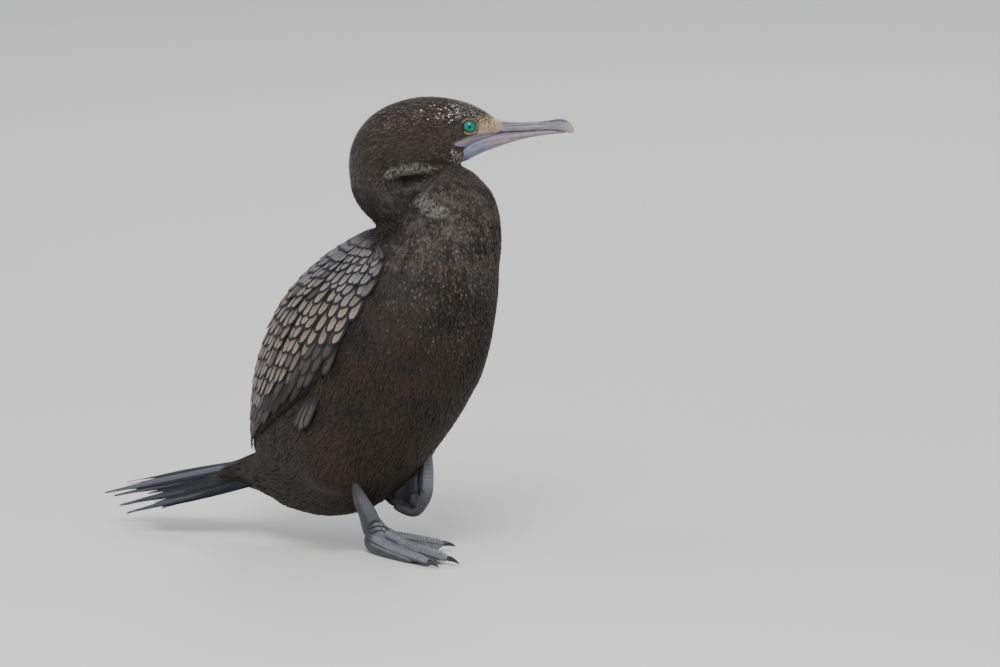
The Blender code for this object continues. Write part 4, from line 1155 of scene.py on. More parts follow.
def mantle_rows():
    """The column of back feathers between the wings, told as feathers of the right wing."""
    made = []
    for before, tier_end in zip(TIER_ENDS[1:-3], TIER_ENDS[2:-2]):
        gap = tier_end - before
        end, luck = tier_end + 0.4 * gap, draw.random(3)
        across, width = MANTLE_MIDDLE + 0.004 * (luck[0] - 0.5), MANTLE_WIDE + 0.001 * luck[1]
        pale = 0.35 + 0.4 * luck[2] if end < MANTLE_DARK else 0.12
        made.append((end - gap * MANTLE_REACH, end, across, width, pale, luck[0], 0))
    return made


def quill_rows():
    made = []
    for k in range(QUILL_COUNT):
        across = 0.10 + 0.86 * k / (QUILL_COUNT - 1)
        end = QUILL_END - 0.013 * max(k - 4, 0)
        made.append((end - QUILL_LONG, end, across, QUILL_WIDE, QUILL_PALE, draw.random(), 1))
    return made


def wing_rows(side):
    """One row to each feather of a wing; the last number is 1 for a flight feather."""
    return np.array(covert_rows() + (mantle_rows() if side < 0 else []) + quill_rows())


# %% Vanes bent to the wing
SCALE_OUTLINE = ((0.0, 0.60), (0.35, 0.90), (0.58, 1.0), (0.75, 0.98), (0.87, 0.82), (0.95, 0.55))
QUILL_OUTLINE = ((0.0, 0.70), (0.25, 0.95), (0.50, 1.0), (0.72, 0.92), (0.87, 0.66), (0.96, 0.32))
# Points across a vane, and how high its shaft stands out of it there.
VANE_COLUMNS = np.array((-1.0, -0.55, 0.0, 0.55, 1.0))
VANE_CROWN = np.array((0.0, 0.00018, 0.00034, 0.00018, 0.0))
UPRIGHT, QUILL_UPRIGHT, LEAN, LEVELS = 0.62, 0.25, 0.010, (-0.0001, 0.0002)
ROOT_LIFT, TIP_RISE, TILT, BACK_RISE, MANTLE_RISE = -0.0009, 0.0021, 0.00016, 0.0009, 0.0010
INSET_WIDTH, TIP_INSET = 0.0064, 0.85


def grid_cells(count, per_side):
    """The corners of a square's cells, one to each vane, for the baked picture."""
    return np.stack([np.arange(count) % per_side, np.arange(count) // per_side], 1) / per_side + 0.002


def wing_vanes(name, side, chosen, outline, order):
    """One mesh of the chosen feathers of a wing, bent to its surface and lifted by order."""
    start, end, across, width, pale, ashy, stiff = chosen.T
    count, columns = len(chosen), VANE_COLUMNS
    held = np.where(stiff > 0, QUILL_UPRIGHT, UPRIGHT)
    lean = draw.normal(0, LEAN, count) * (across > 0)
    level = draw.uniform(*LEVELS, count)
    tip_angle = (WING_BACK - front_edge(end)) * across
    length = (end - start) * (WING_TOP - WING_BOTTOM)
    raised = BACK_RISE * slope(across, PARTING + 0.01, PARTING - 0.01) * slope(end, 0.48, 0.43)
    fixed = level + order + MANTLE_RISE * (across < 0)
    arc = np.array([wing_width(min(max(d, 0.0), 1.0)) for d in (start + end) / 2])

    def row(t, share):
        down = start + (end - start) * t
        half = (width / 2 * share)[:, None] * columns
        upright = tip_angle / (WING_BACK - front_edge(down))
        place = (across + (upright - across) * held + lean * t)[:, None] + half / arc[:, None]
        down = down[:, None] + 0 * place
        lift = wing_bed_lift(np.clip(down, 0, 1), np.clip(place, 0.02, 0.98))
        lift += (fixed + raised * t)[:, None] + ROOT_LIFT + TIP_RISE * t
        lift += VANE_CROWN * (0.4 + 0.6 * share) - columns * TILT
        return wing_surface(down, place, lift, side), half

    rows, grain = [], []
    for t, share in outline:
        points, half = row(t, share)
        from_side = (width / 2 * share)[:, None] * (1 - abs(columns))
        values = vane_grain(half, t, length * TIP_INSET, from_side)
        values[:, :, 2] *= (INSET_WIDTH / width)[:, None]
        rows.append(points[:, ::side])
        grain.append(values[:, ::side])
    tone = np.stack([draw.random(count), pale, ashy], 1)
    per_side = math.ceil(math.sqrt(count))
    return joined_vanes(name, np.stack(rows, 1), row(1.0, 0.0)[0][:, 2], np.stack(grain, 1), tone,
                        grid_cells(count, per_side), 0.9 / per_side)


# %% Finish of the wing feathers
ASHEN, TAN, INK = (0.235, 0.235, 0.255), (0.310, 0.245, 0.190), (0.009, 0.0085, 0.009)
DRAB, DUN, SAND = (0.046, 0.037, 0.030), (0.15, 0.125, 0.105), (0.40, 0.365, 0.33)
BED_TONES = (0.010, 0.009, 0.009), (0.022, 0.019, 0.017)


def wing_finish():
    material, place, shader = new_finish("wing_feathers", Specular_IOR_Level=0.35)
    across, share, inset = place.stored("grain")
    luck, pale, ashy = place.stored("tone")
    cloud = place.noise(700, 3)
    ragged = inset + (cloud - 0.5) * 0.45
    # A near-black border of the feather's own, drawn wide enough to carry also the painted shade where the
    # next feather overlaps it.
    border_and_shade = (ragged + ashy * 0.10).step(1.25, 1.60) * share.step(0.25, 0.50)
    centre = ashy.tint(TAN, ASHEN)
    centre = (luck * 0.45).tint(centre, DUN)
    centre = (cloud.step(0.4, 0.8) * 0.35).tint(centre, SAND)
    centre = (share.step(0.90, 0.50) * 0.45).tint(centre, DRAB)
    centre = pale.step(0.0, 0.75).tint(DRAB, centre)
    centre = pale.step(0.08, 0.0).tint(centre, INK)
    colour = border_and_shade.tint(INK, centre)
    colour = (abs(across).step(0.20, 0.08) * 0.6).tint(colour, INK)
    barbs = ((abs(across) * 7.0 - share * 40) * 2.0).maths("SINE")
    feed(shader, Base_Color=(barbs * 0.06 + 0.06).tint(colour, INK), Roughness=0.52 + barbs * 0.04,
         Normal=bumped(barbs, 0.00007, 0.6))
    return material


def bed_finish():
    material, place, shader = new_finish("wing_bed_down", Roughness=0.8, Specular_IOR_Level=0.2)
    feed(shader, Base_Color=place.noise(500, 3).tint(*BED_TONES),
         Normal=bumped(place.noise(1800, 2), 0.0002, 0.5))
    return material


# %% Both wings
wing_paint, bed_paint = wing_finish(), bed_finish()
BED_ROWS, BED_COLUMNS, BED_START, BED_UNDER, BED_THICK = 60, 36, 0.03, 0.0004, 0.003
TORSO_MIDDLE = Vector(MIDLINE) + Vector((-0.05, 0, 0.13))


def bent_grid(along, around, place):
    """A grid bent to a form; place turns its two shares, each 0 to 1, into a point."""
    form = bmesh.new()
    bmesh.ops.create_grid(form, x_segments=along, y_segments=around, size=0.5)
    for vertex in form.verts:
        vertex.co = Vector(place(vertex.co.x + 0.5, vertex.co.y + 0.5))
    return form


def thickened(form, thickness):
    bmesh.ops.solidify(form, geom=form.faces[:], thickness=thickness)
    bmesh.ops.recalc_face_normals(form, faces=form.faces)
    return form


def wing_bed(side):
    def place(s, across):
        down = BED_START + (1 - BED_START) * s
        lift = wing_bed_lift(down, across) - BED_UNDER
        return wing_surface(down, across, lift, side)

    form = bent_grid(BED_ROWS, BED_COLUMNS, place)
    bmesh.ops.recalc_face_normals(form, faces=form.faces)
    outward = sum(f.normal.dot(f.calc_center_median() - TORSO_MIDDLE) for f in form.faces)
    if outward < 0:
        bmesh.ops.reverse_faces(form, faces=form.faces)
    return thickened(form, BED_THICK)


for side, word in SIDES:
    feathers = wing_rows(side)
    stiff = feathers[:, 6] == 1
    settle("wing_bed_" + word, wing_bed(side), bed_paint, ("wing_" + word,))
    for kind, own, outline, order in (("quills", stiff, QUILL_OUTLINE, 0.0002),
                                      ("coverts", ~stiff, SCALE_OUTLINE, 0.0004)):
        name = f"wing_{kind}_{word}"
        mesh = wing_vanes(name, side, feathers[own], outline, order)
        settle(name, mesh, wing_paint, sharp=FEATHER_EDGE)

# %% [markdown]
# ## Tail
#
# The tail is a narrow fan of twelve stiff feathers. They are worn at the ends by rock and water,
# so they taper to ragged points of different lengths, with dark gaps between them. Each is one
# long vane with a strong shaft; the lengths and widths are varied by listed amounts.

# %% The tail fan
TAIL_ROOT = MIDLINE + np.array((-0.1450, -0.0085, 0.0461))
TAIL_YAW, TAIL_DROOP, TAIL_ROLL = math.radians(18), math.radians(14), math.radians(-20)
# Where each feather starts and ends across the fan, how long and how wide it is, in millimetres,
# and how strongly it carries the painted highlight.
TAIL_FEATHERS = (
    (-9.0, -17.7, 93.4, 9.0, 0.05), (-6.5, -11.8, 92, 9.5, 0.20), (-3.5, -5.0, 105.7, 11.5, 1.00),
    (-1.0, -2.5, 82, 10.0, 0.10), (2.0, 0.0, 98.1, 10.0, 0.70), (4.5, 5.5, 72, 10.0, 0.05),
    (7.0, 9.5, 68, 10.0, 0.10), (9.0, 12.4, 91.3, 11.0, 0.40), (11.0, 18.0, 64, 9.5, 0.15),
    (12.5, 22.7, 83.8, 9.5, 0.60), (14.0, 22.5, 58, 8.5, 0.05), (15.5, 19.1, 49.3, 8.0, 0.30),
)
TAIL_MIDDLE, TAIL_STACK, TAIL_SUNK = 2, 0.00065, 0.015
TAIL_SWING, TAIL_RAGGED, TAIL_TILT, TAIL_BEND, TAIL_TIP_DROP = 0.0006, 0.05, 0.00040, 0.0012, 0.0014
TAIL_OUTLINE = (
    (0.0, 0.50), (0.15, 0.72), (0.32, 0.92), (0.48, 1.0), (0.60, 0.98), (0.70, 0.82),
    (0.78, 0.56), (0.86, 0.34), (0.93, 0.22), (0.98, 0.14),
)
TAIL_COLUMNS = np.array((-1.0, -0.5, 0.0, 0.5, 1.0))
TAIL_CROWN = np.array((0.0, 0.00030, 0.00075, 0.00030, 0.0))
MM = 0.001


# %% The feathers of the fan
def tail_axes():
    """Back along the tail, over it from side to side, and out of its upper face."""
    back = np.array((-math.cos(TAIL_YAW), -math.sin(TAIL_YAW), 0)) * math.cos(TAIL_DROOP)
    back[2] = -math.sin(TAIL_DROOP)
    level = unit(np.cross((0, 0, 1), back))
    over = np.array(Matrix.Rotation(TAIL_ROLL, 3, Vector(back)) @ Vector(level))
    out = unit(np.cross(back, over))
    return back, over, out if out[2] > 0 else -out


def tail_feather(k, start, end, length, width, axes):
    """The rows, the tip and the grain of one feather of the fan."""
    back, over, out = axes
    columns = TAIL_COLUMNS
    stacked = out * abs(k - TAIL_MIDDLE) * TAIL_STACK
    root = TAIL_ROOT + over * start * MM - stacked - back * TAIL_SUNK
    run = back * (length * MM + TAIL_SUNK) + over * (end - start) * MM
    length = np.linalg.norm(run)
    along = run / length
    side = unit(over - along * (over @ along))
    swing = side * draw.normal(0, TAIL_SWING)
    tilt = math.copysign(TAIL_TILT, k - TAIL_MIDDLE + 0.5)
    rows, grain = [], []
    for t, share in TAIL_OUTLINE:
        ragged = draw.normal(0, TAIL_RAGGED, 2) * slope(t, 0.45, 0.9)
        half = (share + np.where(columns < 0, *ragged)) * width / 2 * MM * columns
        lift = TAIL_CROWN * (1 - 0.5 * t) - TAIL_BEND * t**2 - tilt * columns
        here = root + run * t + swing * t**2
        rows.append(here + side * half[:, None] + out * lift[:, None])
        inset = np.minimum(abs(half[0]) * (1 - abs(columns)), (1 - t) * length)
        grain.append(np.stack([half / MM, np.full(len(columns), t), inset / MM], 1))
    return rows, root + run + swing - out * TAIL_TIP_DROP, grain


def tail_mesh():
    axes = tail_axes()
    back, over, out = axes
    made = [tail_feather(k, *row[:4], axes) for k, row in enumerate(TAIL_FEATHERS)]
    rows, tips, grain = (np.array(values) for values in zip(*made))
    if np.cross(back, out) @ over < 0:
        rows, grain = rows[:, :, ::-1], grain[:, :, ::-1]
    count = len(TAIL_FEATHERS)
    tone = np.stack([draw.random(count), np.array(TAIL_FEATHERS)[:, 4], draw.random(count)], 1)
    return joined_vanes("tail_fan", rows, tips, grain, tone, grid_cells(count, 4), 0.24)


# %% Finish of the tail
TAIL_DARK, TAIL_GREY, TAIL_HIGHLIGHT = (0.006, 0.006, 0.007), (0.015, 0.016, 0.019), (0.120, 0.128, 0.155)
TAIL_SHAFT, TAIL_WORN = (0.012, 0.012, 0.014), (0.24, 0.21, 0.19)


def tail_finish():
    material, place, shader = new_finish("tail_feathers", Specular_IOR_Level=0.3)
    across, share, inset = place.stored("grain")
    luck, pale, _ = place.stored("tone")
    streak = place.node("TexNoise", {"noise_dimensions": "1D"},
                        {"W": across * 2.2 + luck * 9, "Scale": 1.5})
    # A pale blue-grey band along the upper part of each vane is a painted highlight; the tone's second
    # value says how strongly each feather carries it.
    upper = across.step(3.2, 0.8) * across.step(-5.2, -3.0) * (streak * 0.5 + 0.5)
    wear_and_glint = share.step(0.84, 1.0) * place.noise(600, 3).step(0.35, 0.6)
    colour = streak.step(0.3, 0.7).tint(TAIL_DARK, TAIL_GREY)
    colour = (upper * pale).tint(colour, TAIL_HIGHLIGHT)
    colour = (abs(across).step(0.45, 0.15) * 0.6).tint(colour, TAIL_SHAFT)
    # Darker along the edges of each vane: painted shadow where the neighbouring feather lies over it.
    colour = inset.step(0.5, 0.1).tint(colour, TAIL_DARK)
    colour = (wear_and_glint * 0.6).tint(colour, TAIL_WORN)
    barbs = (abs(across) * 8.0 - share * 150).maths("SINE")
    feed(shader, Base_Color=colour, Roughness=0.50 + barbs * 0.05,
         Normal=bumped(barbs, 0.00008, 0.5))
    return material


settle("tail_fan", tail_mesh(), tail_finish(), ("tail",), FEATHER_EDGE)

# %% A tuft below the wing
# Root, length, width and lift of each feather, and its luck, paleness and ashiness.
TUFT = np.array((
    (-0.0395, -0.0500, 0.1145, 0.028, 0.0060, 0.0033, 0.3, 0.17, 0.1),
    (-0.0425, -0.0498, 0.1135, 0.030, 0.0066, 0.0037, 0.6, 0.24, 0.1),
    (-0.0455, -0.0495, 0.1120, 0.027, 0.0060, 0.0031, 0.8, 0.15, 0.1),
))
TUFT_TURN = 0.02
tuft_places, tuft_normals = nearest_on_skin(TUFT[:, :3])
tuft = lay_feathers("flank_tuft", tuft_places, tuft_normals, *TUFT[:, 3:6].T, TUFT[:, 6:],
                    around_body(tuft_places), TUFT_TURN, SCALE_OUTLINE)
settle("flank_tuft", tuft, wing_paint, sharp=FEATHER_EDGE)

# %% [markdown]
# ## Eyes
#
# A maker of museum birds sets a glass eye: a clear lens over a painted iris with a round pupil.
# This one is turquoise, ringed by bare skin with fine gold beads. The eyeball is a sphere turned
# so that its pole looks out of the head, which makes the iris a simple function of the distance
# from the pole. The lids are a beaded ring that closes the edge of the socket.

# %% Eyeballs and beaded lids
EYE_TILT, EYE_SUNK, EYE_STEPS = 0.02, 0.0001, 48
LENS_BULGE, LENS_WIDE = 0.00025, 0.55
LID_RADIUS, LID_THICK, LID_BEADS, LID_OUT, LID_WIDER = 0.00486, 0.00104, 32, 0.0013, 1.04
LID_STEPS, LID_SIDES, LID_SINK = 240, 16, 0.0006


def wrapped(along, around, place):
    """A grid bent round until its sides meet; place turns its two shares, 0 to 1, into a point."""
    form = bent_grid(along, around, place)
    bmesh.ops.remove_doubles(form, verts=form.verts, dist=WELD)
    bmesh.ops.recalc_face_normals(form, faces=form.faces)
    return form


def eye_axes(side):
    """The middle of an eye, then the ways out of the head, up and over it."""
    out = unit(HEAD_LEFT * side + HEAD_AHEAD * EYE_TILT)
    up = unit(np.array((0, 0, 1)) - out * out[2])
    return head_point(EYE_ALONG, side * EYE_SIDE, EYE_HEIGHT), out, up, np.cross(up, out)


def eyeball(side):
    centre, out, up, over = eye_axes(side)

    def place(s, t):
        polar, turn = s * math.pi, t * 2 * math.pi
        ring = (over * math.cos(turn) + up * math.sin(turn)) * math.sin(polar)
        sphere = centre + (ring + out * math.cos(polar)) * (EYE_RADIUS - EYE_SUNK)
        return sphere + out * LENS_BULGE * bell(polar, LENS_WIDE)

    return wrapped(EYE_STEPS, EYE_STEPS, place)


def lids(side):
    centre, out, up, over = eye_axes(side)
    middle = centre + out * (math.sqrt(EYE_RADIUS**2 - LID_RADIUS**2) * 0.96 + LID_OUT)

    def place(s, t):
        turn, rolled = s * 2 * math.pi, t * 2 * math.pi
        bead = abs(math.sin(turn * LID_BEADS / 2)) ** 0.7
        thick = LID_THICK * (0.78 + 0.30 * bead * max(0.0, math.cos(rolled - 0.6)))
        spoke = over * math.cos(turn) * LID_WIDER + up * math.sin(turn)
        rise = thick * math.sin(rolled) - LID_SINK * math.cos(turn) ** 2
        return middle + spoke * (LID_RADIUS + thick * math.cos(rolled)) + out * rise

    return wrapped(LID_STEPS, LID_SIDES, place)


# %% Finish of the eyes
TURQUOISE, TURQUOISE_LIGHT = (0.0, 0.105, 0.075), (0.002, 0.235, 0.170)
IRIS_EDGE, IRIS_MIDDLE, PUPIL = (0.0, 0.060, 0.050), (0.0, 0.06, 0.045), (0.002, 0.002, 0.002)
BEAD_GOLD, BEAD_GAP = (0.42, 0.29, 0.10), (0.10, 0.065, 0.035)


def eye_finish(side, word):
    material, place, shader = new_finish("eye_" + word, Roughness=0.22, Coat_Weight=0.15,
                                         Coat_Roughness=0.05, Specular_IOR_Level=0.35)
    centre, _, up, over = eye_axes(side)
    moved = place.vector("SUBTRACT", tuple(centre))
    across, rise = (moved.vector("DOT_PRODUCT", tuple(axis), output="Value") for axis in (over, up))
    reach = (across * across + rise * rise).maths("SQRT") * 1000
    iris = place.noise(1500, 4, 0.7).step(0.35, 0.65).tint(TURQUOISE, TURQUOISE_LIGHT)
    iris = (reach.step(2.9, 4.3) * 0.8).tint(iris, IRIS_EDGE)
    iris = (reach.step(1.6, 0.9) * 0.5).tint(iris, IRIS_MIDDLE)
    colour = reach.step(4.15, 4.40).tint(iris, PITCH)
    feed(shader, Base_Color=reach.step(1.00, 0.88).tint(colour, PUPIL))
    return material


def lid_finish():
    material, place, shader = new_finish("beaded_lids", Roughness=0.4, Specular_IOR_Level=0.45)
    spots = place.cells(1300)
    feed(shader, Base_Color=spots.step(0.20, 0.42).tint(BEAD_GOLD, BEAD_GAP),
         Normal=bumped(spots, 0.00012, 0.5))
    return material


# %% Both eyes
lid_paint = lid_finish()
for side, word in SIDES:
    settle("eyeball_" + word, eyeball(side), eye_finish(side, word), ("eye_" + word,))
    settle("lids_" + word, lids(side), lid_paint)

# %% [markdown]
# ## Bill and throat
#
# The upper bill is a slim horn with a rounded ridge, a groove along each side and a hooked nail
# at its end. The lower bill is a fork of horn that holds the bare lilac skin of the throat. Both
# are grids wrapped round the bill's length, so a groove or a ridge is just a small change of the
# section along a line.

# %% Sections of the bill
UPPER_BILL = (
    (0.0520, 0.2942, 0.2838, 0.0078), (0.0560, 0.2928, 0.2838, 0.0068), (0.0600, 0.2915, 0.2839, 0.0058),
    (0.0650, 0.2909, 0.2842, 0.0051), (0.0740, 0.2905, 0.2847, 0.0043), (0.0840, 0.2909, 0.2851, 0.0037),
    (0.0920, 0.2920, 0.2853, 0.0034), (0.0970, 0.2928, 0.2848, 0.0034), (0.1005, 0.2924, 0.2839, 0.0032),
    (0.1032, 0.2908, 0.2832, 0.0027), (0.1052, 0.2888, 0.2831, 0.0020), (0.1064, 0.2867, 0.2836, 0.0012),
    (0.1070, 0.2848, 0.2841, 0.0003),
)
LOWER_BILL = (
    (0.0260, 0.2735, 0.2650, 0.0040), (0.0300, 0.2762, 0.2636, 0.0092), (0.0360, 0.2795, 0.2650, 0.0112),
    (0.0420, 0.2818, 0.2682, 0.0108), (0.0500, 0.2834, 0.2716, 0.0087), (0.0600, 0.2842, 0.2752, 0.0063),
    (0.0700, 0.2846, 0.2784, 0.0049), (0.0820, 0.2852, 0.2810, 0.0038), (0.0920, 0.2853, 0.2824, 0.0030),
    (0.0990, 0.2846, 0.2829, 0.0017), (0.1012, 0.2840, 0.2832, 0.0003),
)
GROOVE_FROM, GROOVE_TO, GROOVE_FADE, NAIL_ALONG = 0.0600, 0.0985, 0.004, 0.0975
BILL_RINGS, BILL_SIDES, BILL_SQUARE = 110, 56, 0.85


# %% Forms of the bill
def bill_form(table, dent):
    rows = smooth_rows(table, BILL_RINGS + 1)

    def place(s, t):
        along, top, bottom, half = rows[min(int(round(s * BILL_RINGS)), BILL_RINGS)]
        angle = t * 2 * math.pi
        up, over = math.sin(angle), math.cos(angle)
        pull = dent(along, up) if 0.02 < s < 0.995 else 0.0
        if s <= 0 or s >= 1:
            return head_point(along, 0.0, (top + bottom) / 2)
        side = math.copysign(abs(over) ** BILL_SQUARE, over) * (half - pull)
        return head_point(along, side, (top + bottom) / 2 + up * ((top - bottom) / 2 - pull * 0.3))

    return wrapped(BILL_RINGS, BILL_SIDES, place)


def upper_dent(along, up):
    """How far the side of the upper bill is pressed in: the groove, the nail's edge and the ridge."""
    run = slope(along, GROOVE_FROM, GROOVE_FROM + GROOVE_FADE)
    run *= slope(along, GROOVE_TO, GROOVE_TO - GROOVE_FADE)
    groove = 0.00055 * run * bell(up - 0.34, 0.13)
    second = 0.00018 * run * bell(up + 0.30, 0.16)
    nail = 0.00035 * bell(along - NAIL_ALONG + 0.0012 * up, 0.0005) * slope(up, 0.75, 0.3)
    ridge = 0.00040 * slope(up, 0.55, 0.80) * slope(along, 0.104, 0.098)
    return groove + second + nail + ridge


def lower_dent(along, up):
    """The fold between the horn of the lower bill and the skin that hangs from it."""
    level = 0.10 - 0.9 * slope(along, 0.050, 0.090)
    fold = 0.00050 * bell(up - level, 0.12) * slope(along, 0.032, 0.038)
    wrinkle = 0.00012 * math.sin(along * 5200) * slope(along, 0.060, 0.045) * slope(up, 0.1, -0.3)
    return fold * slope(along, 0.092, 0.070) + wrinkle


# %% Colours and streaks of the bill
HORN_DARK, HORN_LIGHT, HORN_CLOUD = (0.155, 0.145, 0.170), (0.305, 0.285, 0.310), (0.40, 0.385, 0.40)
RIDGE_SLATE, RIDGE_LINE, NAIL_PALE_GLINT = (0.062, 0.058, 0.070), (0.028, 0.026, 0.032), (0.42, 0.37, 0.34)
GAPE_SHADE = (0.09, 0.08, 0.10)
FORK_DARK, FORK_LIGHT, FORK_TIP = (0.165, 0.135, 0.155), (0.290, 0.245, 0.265), (0.27, 0.25, 0.26)
THROAT_BLUE, THROAT_LILAC = (0.120, 0.135, 0.225), (0.200, 0.205, 0.280)
THROAT_PALE, THROAT_RIM, THROAT_FOOT = (0.27, 0.25, 0.25), (0.16, 0.135, 0.150), (0.10, 0.085, 0.075)
GRIME = (0.070, 0.062, 0.072)


def streaks(place, stretch, scale):
    """Streaks that run along the bill, from 0 to 1."""
    stretched = place.node("Mapping", None, {"Vector": place, "Scale": (1.0, 1.0, stretch)})
    return stretched.noise(scale, 4, 0.65)


# %% The finished bill
def upper_bill_finish():
    material, place, shader = new_finish("upper_bill_horn", Specular_IOR_Level=0.5,
                                         Coat_Weight=0.15, Coat_Roughness=0.25)
    along, height = along_head(place)
    streak = streaks(place, 7.0, 170)
    crown = along.node("MapRange", None, {"Value": along, "From Min": 0.060, "From Max": 0.098,
                                          "To Min": 0.2890, "To Max": 0.2903})
    above = height - crown
    line = abs((above + 0.0006) * 1000.0).step(0.6, 0.1)
    line = line * along.step(0.059, 0.062) * along.step(0.100, 0.096)
    gape = height.step(0.2852, 0.2838) * along.step(0.104, 0.095)
    freckled = place.noise(400, 3).step(0.3, 0.7).tint(LORE, LORE_LIGHT)
    freckled = (place.noise(900, 2).step(0.52, 0.62) * 0.8).tint(freckled, FRECKLE)
    colour = streak.step(0.3, 0.7).tint(HORN_DARK, HORN_LIGHT)
    colour = (above.step(-0.0002, 0.0010) * 0.8).tint(colour, RIDGE_SLATE)
    colour = (line * 0.75).tint(colour, RIDGE_LINE)
    # The pale horn of the nail, with a painted highlight on it.
    colour = (along.step(0.099, 0.107) * 0.75).tint(colour, NAIL_PALE_GLINT)
    colour = (place.noise(520, 3).step(0.55, 0.75) * 0.30).tint(colour, HORN_CLOUD)
    colour = (gape * 0.35).tint(colour, GAPE_SHADE)
    colour = (behind_horn(along, height) * height.step(0.2843, 0.2851)).tint(colour, freckled)
    feed(shader, Base_Color=colour, Roughness=0.34 + streak * 0.16,
         Normal=bumped(streak, 0.0002, 0.35))
    return material


def lower_bill_finish():
    material, place, shader = new_finish("lower_bill_and_throat", Specular_IOR_Level=0.45)
    along, height = along_head(place)
    streak, level = streaks(place, 5.0, 180), height - along * 0.30
    horn = streak.step(0.3, 0.7).tint(FORK_DARK, FORK_LIGHT)
    horn = (along.step(0.075, 0.098) * 0.5).tint(horn, FORK_TIP)
    pouch = place.noise(260, 3).step(0.3, 0.7).tint(THROAT_BLUE, THROAT_LILAC)
    pouch = (level.step(0.2672, 0.2692) * 0.75).tint(pouch, THROAT_PALE)
    pouch = ((height - along * 0.36).step(0.2528, 0.2512) * 0.7).tint(pouch, THROAT_RIM)
    colour = along.step(0.0455, 0.0510).tint(pouch, horn)
    colour = (place.noise(420, 4, 0.7).step(0.55, 0.75) * 0.55).tint(colour, GRIME)
    colour = (level.step(0.2572, 0.2556) * 0.35).tint(colour, THROAT_FOOT)
    feed(shader, Base_Color=colour, Roughness=0.40 + streak * 0.15,
         Normal=bumped(place.cells(1100) + streak, 0.0002, 0.4))
    return material


settle("upper_bill", bill_form(UPPER_BILL, upper_dent), upper_bill_finish(),
       ("bill_upper",))
settle("lower_bill", bill_form(LOWER_BILL, lower_dent), lower_bill_finish(),
       ("bill_lower",))

# %% [markdown]
# ## Legs and feet
#
# A cormorant's foot has four toes joined by three webs. Broad plates cross the tops of the toes,
# small round scales cover the rest, and the skin gathers in folds in front of the ankle. Each toe
# is a tube along a path, each web a sheet slung between two paths, and small cubes melt them into
# one skin. Then the plates are raised by distance from the paths, so that they follow every toe
# without being placed by hand. The folds of the ankle follow three lines drawn in the side plane
# of the leg, because their curves are what shows from the side.

# %% Paths of the toes
# Points from the middle line of the body, in metres. A leg's row ends with its half depth and half
# width, and a toe's with its radius.
TARSUS_RIGHT = (
    (-0.0318, -0.0400, 0.0600, 0.0012, 0.0014), (-0.0326, -0.0368, 0.0534, 0.0020, 0.0020),
    (-0.0338, -0.0316, 0.0470, 0.0033, 0.0030), (-0.0363, -0.0226, 0.0365, 0.0054, 0.0046),
    (-0.0380, -0.0136, 0.0265, 0.0066, 0.0054), (-0.0394, -0.0085, 0.0180, 0.0068, 0.0058),
    (-0.0398, -0.0067, 0.0115, 0.0056, 0.0052),
)
TOES_RIGHT = {
    "outer": ((-0.0399, -0.0077, 0.0130, 0.0052), (-0.0299, -0.0132, 0.0098, 0.0036),
              (-0.0079, -0.0202, 0.0066, 0.0030), (0.0111, -0.0252, 0.0052, 0.0028),
              (0.0256, -0.0282, 0.0034, 0.0024)),
    "middle": ((-0.0399, -0.0057, 0.0140, 0.0054), (-0.0289, -0.0072, 0.0118, 0.0041),
               (-0.0069, -0.0102, 0.0088, 0.0033), (0.0151, -0.0127, 0.0064, 0.0029),
               (0.0311, -0.0145, 0.0044, 0.0024)),
    "inner": ((-0.0399, -0.0037, 0.0135, 0.0052), (-0.0329, 0.0033, 0.0104, 0.0038),
              (-0.0169, 0.0153, 0.0076, 0.0031), (-0.0034, 0.0243, 0.0052, 0.0025)),
    "hind": ((-0.0404, -0.0032, 0.0100, 0.0050), (-0.0474, 0.0073, 0.0070, 0.0034),
             (-0.0514, 0.0173, 0.0050, 0.0028), (-0.0539, 0.0258, 0.0034, 0.0022)),
}
TARSUS_LEFT = (
    (-0.0260, 0.0290, 0.0740, 0.0040, 0.0042), (-0.0190, 0.0235, 0.0634, 0.0044, 0.0048),
    (-0.0152, 0.0196, 0.0544, 0.0047, 0.0054), (-0.0150, 0.0188, 0.0454, 0.0050, 0.0056),
    (-0.0150, 0.0190, 0.0404, 0.0046, 0.0050),
)
TOE_LEFT = (
    (-0.0151, 0.0190, 0.0474, 0.0048), (-0.0145, 0.0190, 0.0404, 0.0045), (-0.0168, 0.0181, 0.0330, 0.0041),
    (-0.0222, 0.0168, 0.0262, 0.0037), (-0.0300, 0.0146, 0.0270, 0.0034), (-0.0368, 0.0126, 0.0302, 0.0029),
)
TOE_ROW = np.array((-0.616, 0.788, -0.18))
TOES_LEFT = {"outer": (-0.0010, 1.0), "middle": (0.0058, 0.96), "inner": (0.0117, 0.88)}
KNUCKLE, KNUCKLE_REACH = (-0.0200, 0.0125, 0.0350), (0.0032, 0.0034, 0.0050)
PLEAT_TOP, PLEAT_END = (-0.0170, 0.0195, 0.0560), (-0.0400, 0.0095, 0.0345)
SOLE_RIGHT = ((-0.0405, -0.0070, 0.0064, 0.0058), (-0.0300, -0.0120, 0.0050, 0.0046),
              (-0.0180, -0.0168, 0.0040, 0.0037), (-0.0060, -0.0206, 0.0034, 0.0031),
              (0.0111, -0.0250, 0.0030, 0.0027))
INSTEP_RIGHT = ((-0.0386, -0.0155, 0.0290, 0.0038), (-0.0355, -0.0100, 0.0212, 0.0044),
                (-0.0300, -0.0078, 0.0152, 0.0044), (-0.0200, -0.0088, 0.0126, 0.0038),
                (-0.0100, -0.0100, 0.0100, 0.0033))
